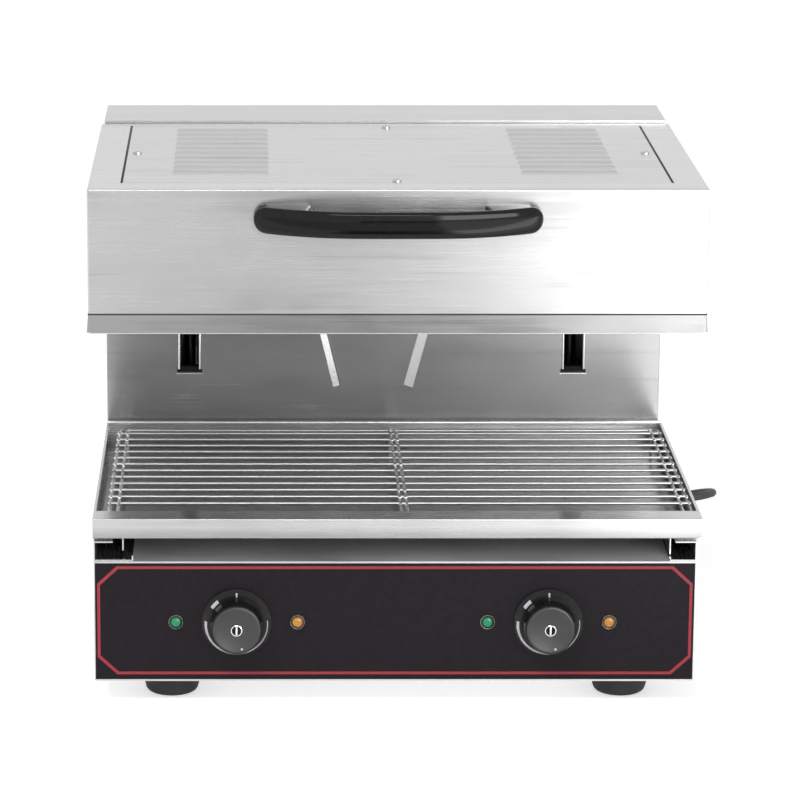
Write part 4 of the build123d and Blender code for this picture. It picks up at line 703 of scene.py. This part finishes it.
beads = []
for x in SLOT_X:
    half = SLOT_HALF + BEAD
    high = SLOT_HIGH + BEAD
    rim = [((x - half, RIM_FACE, SLOT_LOW), (1, 0, 0), OUT),
           ((x - half, RIM_FACE, high), (MITRE, 0, -MITRE), OUT),
           ((x + half, RIM_FACE, high), (-MITRE, 0, -MITRE), OUT),
           ((x + half, RIM_FACE, SLOT_LOW), (-1, 0, 0), OUT)]
    sill = [((end, COLUMN_FRONT, SLOT_LOW - SILL_DROP), UP, OUT) for end in (x - SILL_HALF, x + SILL_HALF)]
    beads += [strip(rim, half_round(BEAD)), strip(sill, half_round(BEAD))]
slot_beads = mesh_object("slot_beads", *merged(beads), bead_steel_painted_highlight)
place(slot_beads, "cabinet")

# side, x of the foot, lean in degrees and finish, each bar's tone painted for how light falls on it
SLANTS = (("left", -0.0492, -13.8, left_bar_painted_shade), ("right", 0.0270, 15.0, right_bar_painted_light))
SLANT_LOW = 0.2330
BAR_HALF = 0.0049
BAR_LENGTH = 0.1050
# deep enough to catch the light, and clear of the hood's back as it slides past
wedge = [(-BAR_HALF, 0.0003), (-BAR_HALF, -0.0030), (-BAR_HALF + 0.0004, -0.0033), (BAR_HALF, -0.0004),
         (BAR_HALF, 0.0003)]
for side, foot_x, lean, finish in SLANTS:
    turn = Matrix.Rotation(math.radians(lean), 4, "Y")
    move = Matrix.Translation((foot_x, COLUMN_FRONT, SLANT_LOW))
    hand = math.copysign(1.0, -lean)
    verts = [tuple(move @ turn @ Vector((hand * x, y, z))) for z in (0.0, BAR_LENGTH) for x, y in wedge]
    count = len(wedge)
    faces = [[index, (index + 1) % count, count + (index + 1) % count, count + index]
             for index in range(count)]
    faces += [list(range(count)), list(range(count, 2 * count))]
    place(mesh_object("slant_bar_" + side, verts, faces, finish), "cabinet")


# ------------------------------------------------------------------ hood seam's painted shadow, hem, and painted shade in the cover's slits
HALF_HOOD = 0.300
HOOD_BACK = 0.1585
LIP_TOP = 0.3955
HOOD_BOTTOM = 0.3770
SEAM_HALF = 0.0008
SEAM_RISE = 0.00018
HEM = 0.0009
HEM_OUT = 0.0006
# painted shade: dark strips in the slits beside the top cover, for the shade in the gaps
SLIT_SHADE_X = (0.2662, 0.2686)
SLIT_SHADE_Y = (-0.1849, 0.1429)
SLIT_SHADE_Z = (0.5175, 0.5192)


def round_hood(half_x, front, back, z):
    """Corner points of a ring round the hood, with mitred sides."""
    return [((-half_x, back, z), UP, (-1, 0, 0)), ((-half_x, front, z), UP, (-1, -1, 0)),
            ((half_x, front, z), UP, (1, -1, 0)), ((half_x, back, z), UP, (1, 0, 0))]


# a dark strip round the lip's top, painted shadow in the crease
seam_profile = [(-SEAM_HALF, 0.0), (-SEAM_HALF, SEAM_RISE), (SEAM_HALF, SEAM_RISE), (SEAM_HALF, 0.0)]
seam_ring = round_hood(HALF_HOOD, FRONT, HOOD_BACK, LIP_TOP)
seam = mesh_object("hood_seam_shadow", *strip(seam_ring, seam_profile), seam_painted_shadow)
place(seam, "hood")
hem_ring = round_hood(HALF_HOOD + HEM_OUT, FRONT - HEM_OUT, HOOD_BACK, HOOD_BOTTOM + 0.0002)
hem = mesh_object("hood_hem", *strip(hem_ring, half_round(HEM)), bead_steel_painted_highlight)
place(hem, "hood")

# dark strips standing for the shade in the cover's slits
slit_shades = [slab(sorted(sign * x for x in SLIT_SHADE_X), SLIT_SHADE_Y, SLIT_SHADE_Z, 0.0002) for sign in (-1, 1)]
slit_shade = mesh_object("cover_slit_shade", *merged(slit_shades), black_steel)
place(slit_shade, "hood")


# ------------------------------------------------------------------ handle
HANDLE_Z = 0.4912
HANDLE_HALF = 0.1380
HANDLE_TALL = 0.0130
HANDLE_DEEP = 0.0046
HANDLE_FLAT = 0.0320
HANDLE_SWEEP = 0.1860
HANDLE_CORNER = 0.0110
HANDLE_MIDDLE_Y = FRONT - 0.0405
# the handle's feet: from and to along x, how far the inner side leans, half height, rounded edges
FOOT_OUTER = 0.1275
FOOT_INNER = 0.0840
FOOT_LEAN = 0.0060
FOOT_TALL = 0.0118
FOOT_ROUND = 0.0018


def bow(x):
    """The bar's centre line at x: its y, and how far it has turned back."""
    run = max(0.0, abs(x) - HANDLE_FLAT)
    return (HANDLE_MIDDLE_Y + HANDLE_SWEEP - math.sqrt(HANDLE_SWEEP ** 2 - run ** 2),
            math.copysign(math.asin(run / HANDLE_SWEEP), x))


def bar_ring(x, steps=40, power=2.0 / 2.7):
    """One rounded section of the bar, drawn in at its ends."""
    past = max(0.0, abs(x) - (HANDLE_HALF - HANDLE_CORNER)) / HANDLE_CORNER
    drawn = math.sqrt(max(0.0, 1 - past ** 2))
    tall = HANDLE_TALL - HANDLE_CORNER * (1 - drawn)
    deep = HANDLE_DEEP * (0.45 + 0.55 * drawn)
    y, angle = bow(x)
    ring = []
    for step in range(steps):
        around = 2 * math.pi * step / steps
        out = math.copysign(abs(math.cos(around)) ** power, math.cos(around)) * deep
        up = math.copysign(abs(math.sin(around)) ** power, math.sin(around)) * tall
        ring.append((x + out * math.sin(angle), y - out * math.cos(angle), HANDLE_Z + up))
    return ring


def bar_stations():
    inner = HANDLE_HALF - HANDLE_CORNER
    end = [inner + HANDLE_CORNER * math.sin(math.pi / 2 * step / 10) for step in range(1, 11)]
    middle = [-inner + 2 * inner * step / 80 for step in range(81)]
    return [-x for x in reversed(end)] + middle + end


def handle_foot(sign):
    """The block between the bar and the hood, with rounded edges."""
    leant = FOOT_INNER + FOOT_LEAN
    outline = [(FOOT_OUTER, FRONT), (FOOT_INNER, FRONT), (leant, bow(leant)[0]),
               (FOOT_OUTER, bow(FOOT_OUTER)[0])]
    shape = bmesh.new()
    low = [shape.verts.new((sign * x, y, HANDLE_Z - FOOT_TALL)) for x, y in outline]
    high = [shape.verts.new((sign * x, y, HANDLE_Z + FOOT_TALL)) for x, y in outline]
    shape.faces.new(low)
    shape.faces.new(high)
    for index in range(4):
        after = (index + 1) % 4
        shape.faces.new((low[index], low[after], high[after], high[index]))
    bmesh.ops.recalc_face_normals(shape, faces=shape.faces)
    rounded = [edge for edge in shape.edges if not all(abs(v.co.y - FRONT) < 1e-6 for v in edge.verts)]
    bmesh.ops.bevel(shape, geom=rounded, offset=FOOT_ROUND, segments=4, profile=0.5, affect="EDGES")
    return freed(shape)


sections = [bar_ring(x) for x in bar_stations()]
around = len(sections[0])
bar_faces = []
for station in range(len(sections) - 1):
    for index in range(around):
        after = (index + 1) % around
        bar_faces.append((station * around + index, station * around + after,
                          (station + 1) * around + after, (station + 1) * around + index))
bar_faces.append(tuple(range(around)))
bar_faces.append(tuple((len(sections) - 1) * around + index for index in range(around)))
bow_bar = ([point for section in sections for point in section], bar_faces)
handle_parts = merged([bow_bar, handle_foot(-1), handle_foot(1)])
grip = mesh_object("bow_handle", *handle_parts, handle_black, sharp=50.0)
place(grip, "hood")
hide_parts("handle")


# ------------------------------------------------------------------ welds of the grid, hem of the tray
GRID_FIRST = -0.1905
GRID_PITCH = 0.0256
GRID_ROWS = 14
GRID_X = (-0.2825, 0.2945)
STAY_INSET = 0.0086
MIDDLE_STAYS = (0.0070, 0.0130)
WELD_Z = 0.1909
WELD_SIZE = (0.0026, 0.0034, 0.0019)


def weld_bead(x, y, z, size):
    """A flattened weld, a little off round."""
    shape = bmesh.new()
    bmesh.ops.create_icosphere(shape, subdivisions=2, radius=1.0)
    for index, vert in enumerate(shape.verts):
        swell = 1 + 0.08 * math.sin(7 * vert.co.x + 5 * vert.co.y + 300 * y)
        vert.co = Vector((x + vert.co.x * size[0] * swell, y + vert.co.y * size[1] * swell,
                          z + vert.co.z * size[2]))
    return freed(shape)


welds = []
for row in range(1, GRID_ROWS - 1):
    y = GRID_FIRST + row * GRID_PITCH
    for x in (GRID_X[0], GRID_X[0] + STAY_INSET, *MIDDLE_STAYS, GRID_X[1] - STAY_INSET, GRID_X[1]):
        welds.append(weld_bead(x, y, WELD_Z, WELD_SIZE))
grid_welds = mesh_object("grid_welds", *merged(welds), bead_steel_painted_highlight)
place(grid_welds, "grid")

TRAY_X = (-0.2965, 0.2995)
TRAY_BACK = 0.1585
RIM_Z = 0.1940
TRAY_HEM = 0.0022
hem_run = [((x, TRAY_BACK - 0.0023, RIM_Z - 0.0001), (0, 1, 0), UP) for x in TRAY_X]
tray_hem = mesh_object("tray_back_hem", *strip(hem_run, half_round(TRAY_HEM)), bead_steel_painted_highlight)
place(tray_hem, "tray")


# ------------------------------------------------------------------ cable gland and plug
GLAND_Y = 0.2425
GLAND_Z = 0.0850
GLAND_AT = (0, GLAND_Y, GLAND_Z)
# (distance along x, radius) of the strain relief's collar, and, from the wall, of the nut
RELIEF_COLLAR = [(0.3040, 0.0), (0.3040, 0.0095), (0.3062, 0.0092), (0.3070, 0.0084)]
RELIEF_END = [(0.3218, 0.0048), (0.3218, 0.0)]
NUT = ((0.0, 0.0), (0.0, 0.0104), (0.0006, 0.0110), (0.0063, 0.0110), (0.0070, 0.0103), (0.0070, 0.0))
ribs = []
for index in range(4):
    start = 0.3075 + index * 0.0036
    radius = 0.0079 - index * 0.0006
    ribs += [(start, radius), (start + 0.0022, radius - 0.0002), (start + 0.0024, radius - 0.0012),
             (start + 0.0034, radius - 0.0013)]
relief = turned(GLAND_AT, "x", RELIEF_COLLAR + ribs + RELIEF_END, 40)
nut = turned(GLAND_AT, "x", shifted(HALF_BASE, NUT), 6)
thread = turned(GLAND_AT, "x", [(0.2838, 0.0), (0.2838, 0.0080), (HALF_BASE, 0.0080), (HALF_BASE, 0.0)], 32)
lock = turned(GLAND_AT, "x", [(0.2908, 0.0), (0.2908, 0.0110), (0.2957, 0.0110), (0.2957, 0.0)], 6)
gland = mesh_object("gland_body", *merged([relief, nut, thread, lock]), plug_plastic)
place(gland, "cabinet")
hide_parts("cable_gland")

PLUG_X = 0.2250
PLUG_Y = 0.3790
PLUG_Z = 0.0187
# (distance from the plug's end, radius) of its body past the ribs, with two grooves, and of a pin
PLUG_BODY = (
    (0.0182, 0.0092), (0.0215, 0.0112), (0.0245, 0.0150), (0.0270, 0.0172), (0.0290, 0.0182),
    (0.0310, 0.0185), (0.0350, 0.0185), (0.0354, 0.0180), (0.0366, 0.0180), (0.0370, 0.0185),
    (0.0392, 0.0185), (0.0396, 0.0180), (0.0408, 0.0180), (0.0412, 0.0185), (0.0490, 0.0185),
    (0.0498, 0.0180), (0.0500, 0.0172), (0.0500, 0.0))
PLUG_PIN = ((0.0490, 0.0), (0.0490, 0.0024), (0.0668, 0.0024), (0.0682, 0.0021), (0.0689, 0.0012),
            (0.0690, 0.0))
PIN_SPACING = 0.0095
profile = [(PLUG_X, 0.0), (PLUG_X, 0.0052)]
for index in range(5):
    start = PLUG_X + 0.0012 + index * 0.0034
    radius = 0.0061 + index * 0.00062
    profile += [(start, radius), (start + 0.0021, radius + 0.0003), (start + 0.0023, radius - 0.0009),
                (start + 0.0032, radius - 0.0008)]
profile += shifted(PLUG_X, PLUG_BODY)
plug = lathe("plug_body", (0, PLUG_Y, PLUG_Z), "x", profile, plug_plastic, 56)
place(plug, "cabinet")
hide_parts("mains_plug")
pins = [turned((0, PLUG_Y + sign * PIN_SPACING, PLUG_Z), "x", shifted(PLUG_X, PLUG_PIN), 24)
        for sign in (-1, 1)]
plug_pins = mesh_object("plug_pins", *merged(pins), pin_nickel)
place(plug_pins, "cabinet")


# ------------------------------------------------------------------ stage and light
def background_seen(tree):
    """1 for camera, glossy and transmission rays, otherwise 0."""
    path = tree.nodes.new("ShaderNodeLightPath")
    seen = path.outputs["Is Camera Ray"]
    for name in ("Is Glossy Ray", "Is Transmission Ray"):
        either = tree.nodes.new("ShaderNodeMath")
        either.operation = "MAXIMUM"
        tree.links.new(seen, either.inputs[0])
        tree.links.new(path.outputs[name], either.inputs[1])
        seen = either.outputs[0]
    return seen


def floor_material():
    """Pale floor that reads white where it is open and still takes the object's shadow."""
    material = bpy.data.materials.new("floor_white")
    material.use_nodes = True
    tree = material.node_tree
    shader = tree.nodes["Principled BSDF"]
    shader.inputs["Base Color"].default_value = (0.80, 0.80, 0.80, 1.0)
    shader.inputs["Roughness"].default_value = 0.9
    shader.inputs["Specular IOR Level"].default_value = 0.0
    glow = tree.nodes.new("ShaderNodeEmission")
    scale = tree.nodes.new("ShaderNodeMath")
    scale.operation = "MULTIPLY"
    scale.inputs[1].default_value = 0.58
    add = tree.nodes.new("ShaderNodeAddShader")
    tree.links.new(background_seen(tree), scale.inputs[0])
    tree.links.new(scale.outputs[0], glow.inputs["Strength"])
    tree.links.new(shader.outputs[0], add.inputs[0])
    tree.links.new(glow.outputs[0], add.inputs[1])
    tree.links.new(add.outputs[0], tree.nodes["Material Output"].inputs["Surface"])
    return material


def card_material(name, levels):
    """A glow that changes along X: `levels` is a list of (x, strength)."""
    material = bpy.data.materials.new(name)
    material.use_nodes = True
    glow = node(material, "ShaderNodeEmission")
    split = node(material, "ShaderNodeSeparateXYZ")
    link(material, node(material, "ShaderNodeTexCoord").outputs["Object"], split.inputs[0])
    low, high = levels[0][0], levels[-1][0]
    brightest = max(level for _, level in levels)
    along = ramp(material, split.outputs["X"], 0.0, 1.0, low, high)
    stops = [((x - low) / (high - low), grey(level / brightest)) for x, level in levels]
    link(material, color_ramp(material, along, stops), glow.inputs["Color"])
    glow.inputs["Strength"].default_value = brightest
    link(material, glow.outputs[0], material.node_tree.nodes["Material Output"].inputs["Surface"])
    return material


def stage_plane(name, corners, material):
    made = mesh_object(name, corners, [(0, 1, 2, 3)], material)
    return made


def card(name, y, z, levels, x=(-4.5, 4.5)):
    """A studio card that only reflections see: from (y[0], z[0]) to (y[1], z[1]), straight along X."""
    corners = [(x[0], y[0], z[0]), (x[1], y[0], z[0]), (x[1], y[1], z[1]), (x[0], y[1], z[1])]
    made = stage_plane(name, corners, card_material(name, levels))
    made.visible_camera = False
    made.visible_diffuse = False
    made.visible_transmission = False
    made.visible_shadow = False


FLOOR_HALF = 14
stage_plane("floor", [(-FLOOR_HALF, -FLOOR_HALF, 0), (FLOOR_HALF, -FLOOR_HALF, 0),
                      (FLOOR_HALF, FLOOR_HALF, 0), (-FLOOR_HALF, FLOOR_HALF, 0)], floor_material())
CARD_Z = (0.004, 0.004)
# from near to far, what the fascia, the column, the hood and its lip reflect
card("card_fascia", (-1.02, -0.62), CARD_Z, [
    (-1.0, 1.06), (0.0, 1.30), (0.25, 1.50), (0.45, 2.0), (1.0, 2.0)])
card("card_column", (-1.70, -1.02), CARD_Z, [
    (-1.2, 1.2), (-0.45, 1.1), (-0.30, 0.45), (-0.16, 0.10), (0.03, 0.10), (0.12, 0.45), (0.22, 0.85),
    (0.30, 1.5), (0.38, 3.2), (0.50, 4.6), (2.0, 4.6)])
card("card_hood", (-4.60, -1.70), CARD_Z, [
    (-1.0, 0.72), (-0.25, 0.78), (0.05, 0.84), (0.26, 0.86), (0.46, 1.9), (2.0, 1.9)])
card("card_lip", (-13.0, -4.60), CARD_Z, [
    (-0.8, 1.1), (-0.30, 1.0), (-0.12, 0.02), (0.10, 0.08), (0.32, 0.16), (0.58, 0.28), (0.82, 1.5),
    (1.2, 1.7), (3.0, 1.7)])
card("card_ceiling", (-3.0, 6.0), (3.6, 3.6), [(-1.0, 0.84), (1.0, 0.84)])
# the bright side of the room, that the right of the column and the tray look out to
card("card_right", (-3.4, -3.4), (0.60, 2.4), [
    (0.10, 1.0), (0.26, 1.8), (0.42, 3.6), (0.55, 7.0), (4.5, 7.0)], (0.10, 4.5))

world = bpy.data.worlds.new("studio")
bpy.context.scene.world = world
world.use_nodes = True
tree = world.node_tree
tree.nodes.clear()
output = tree.nodes.new("ShaderNodeOutputWorld")
soft = tree.nodes.new("ShaderNodeBackground")
soft.inputs["Color"].default_value = (1.0, 1.0, 1.0, 1.0)
soft.inputs["Strength"].default_value = 0.55
white = tree.nodes.new("ShaderNodeBackground")
white.inputs["Color"].default_value = (1.0, 1.0, 1.0, 1.0)
white.inputs["Strength"].default_value = 1.0
mix = tree.nodes.new("ShaderNodeMixShader")
tree.links.new(background_seen(tree), mix.inputs[0])
tree.links.new(soft.outputs[0], mix.inputs[1])
tree.links.new(white.outputs[0], mix.inputs[2])
tree.links.new(mix.outputs[0], output.inputs["Surface"])


def softbox(name, location, aim, size, power):
    light = bpy.data.lights.new(name, "AREA")
    light.shape = "RECTANGLE"
    light.size, light.size_y = size
    light.energy = power
    made = bpy.data.objects.new(name, light)
    made.location = location
    made.rotation_euler = (Vector(aim) - Vector(location)).to_track_quat("-Z", "Y").to_euler()
    bpy.context.scene.collection.objects.link(made)
    made.visible_camera = False
    return made


key_light = softbox("key_light", (-0.85, -1.9, 2.35), (-0.1, -0.2, 0.3), (1.7, 0.35), 34.0)
key_light.visible_glossy = False
streak_light = softbox("streak_light", (-0.30, -2.0, 1.80), (-0.05, -0.2, 0.45), (0.9, 0.14), 4.5)
streak_light.visible_diffuse = False
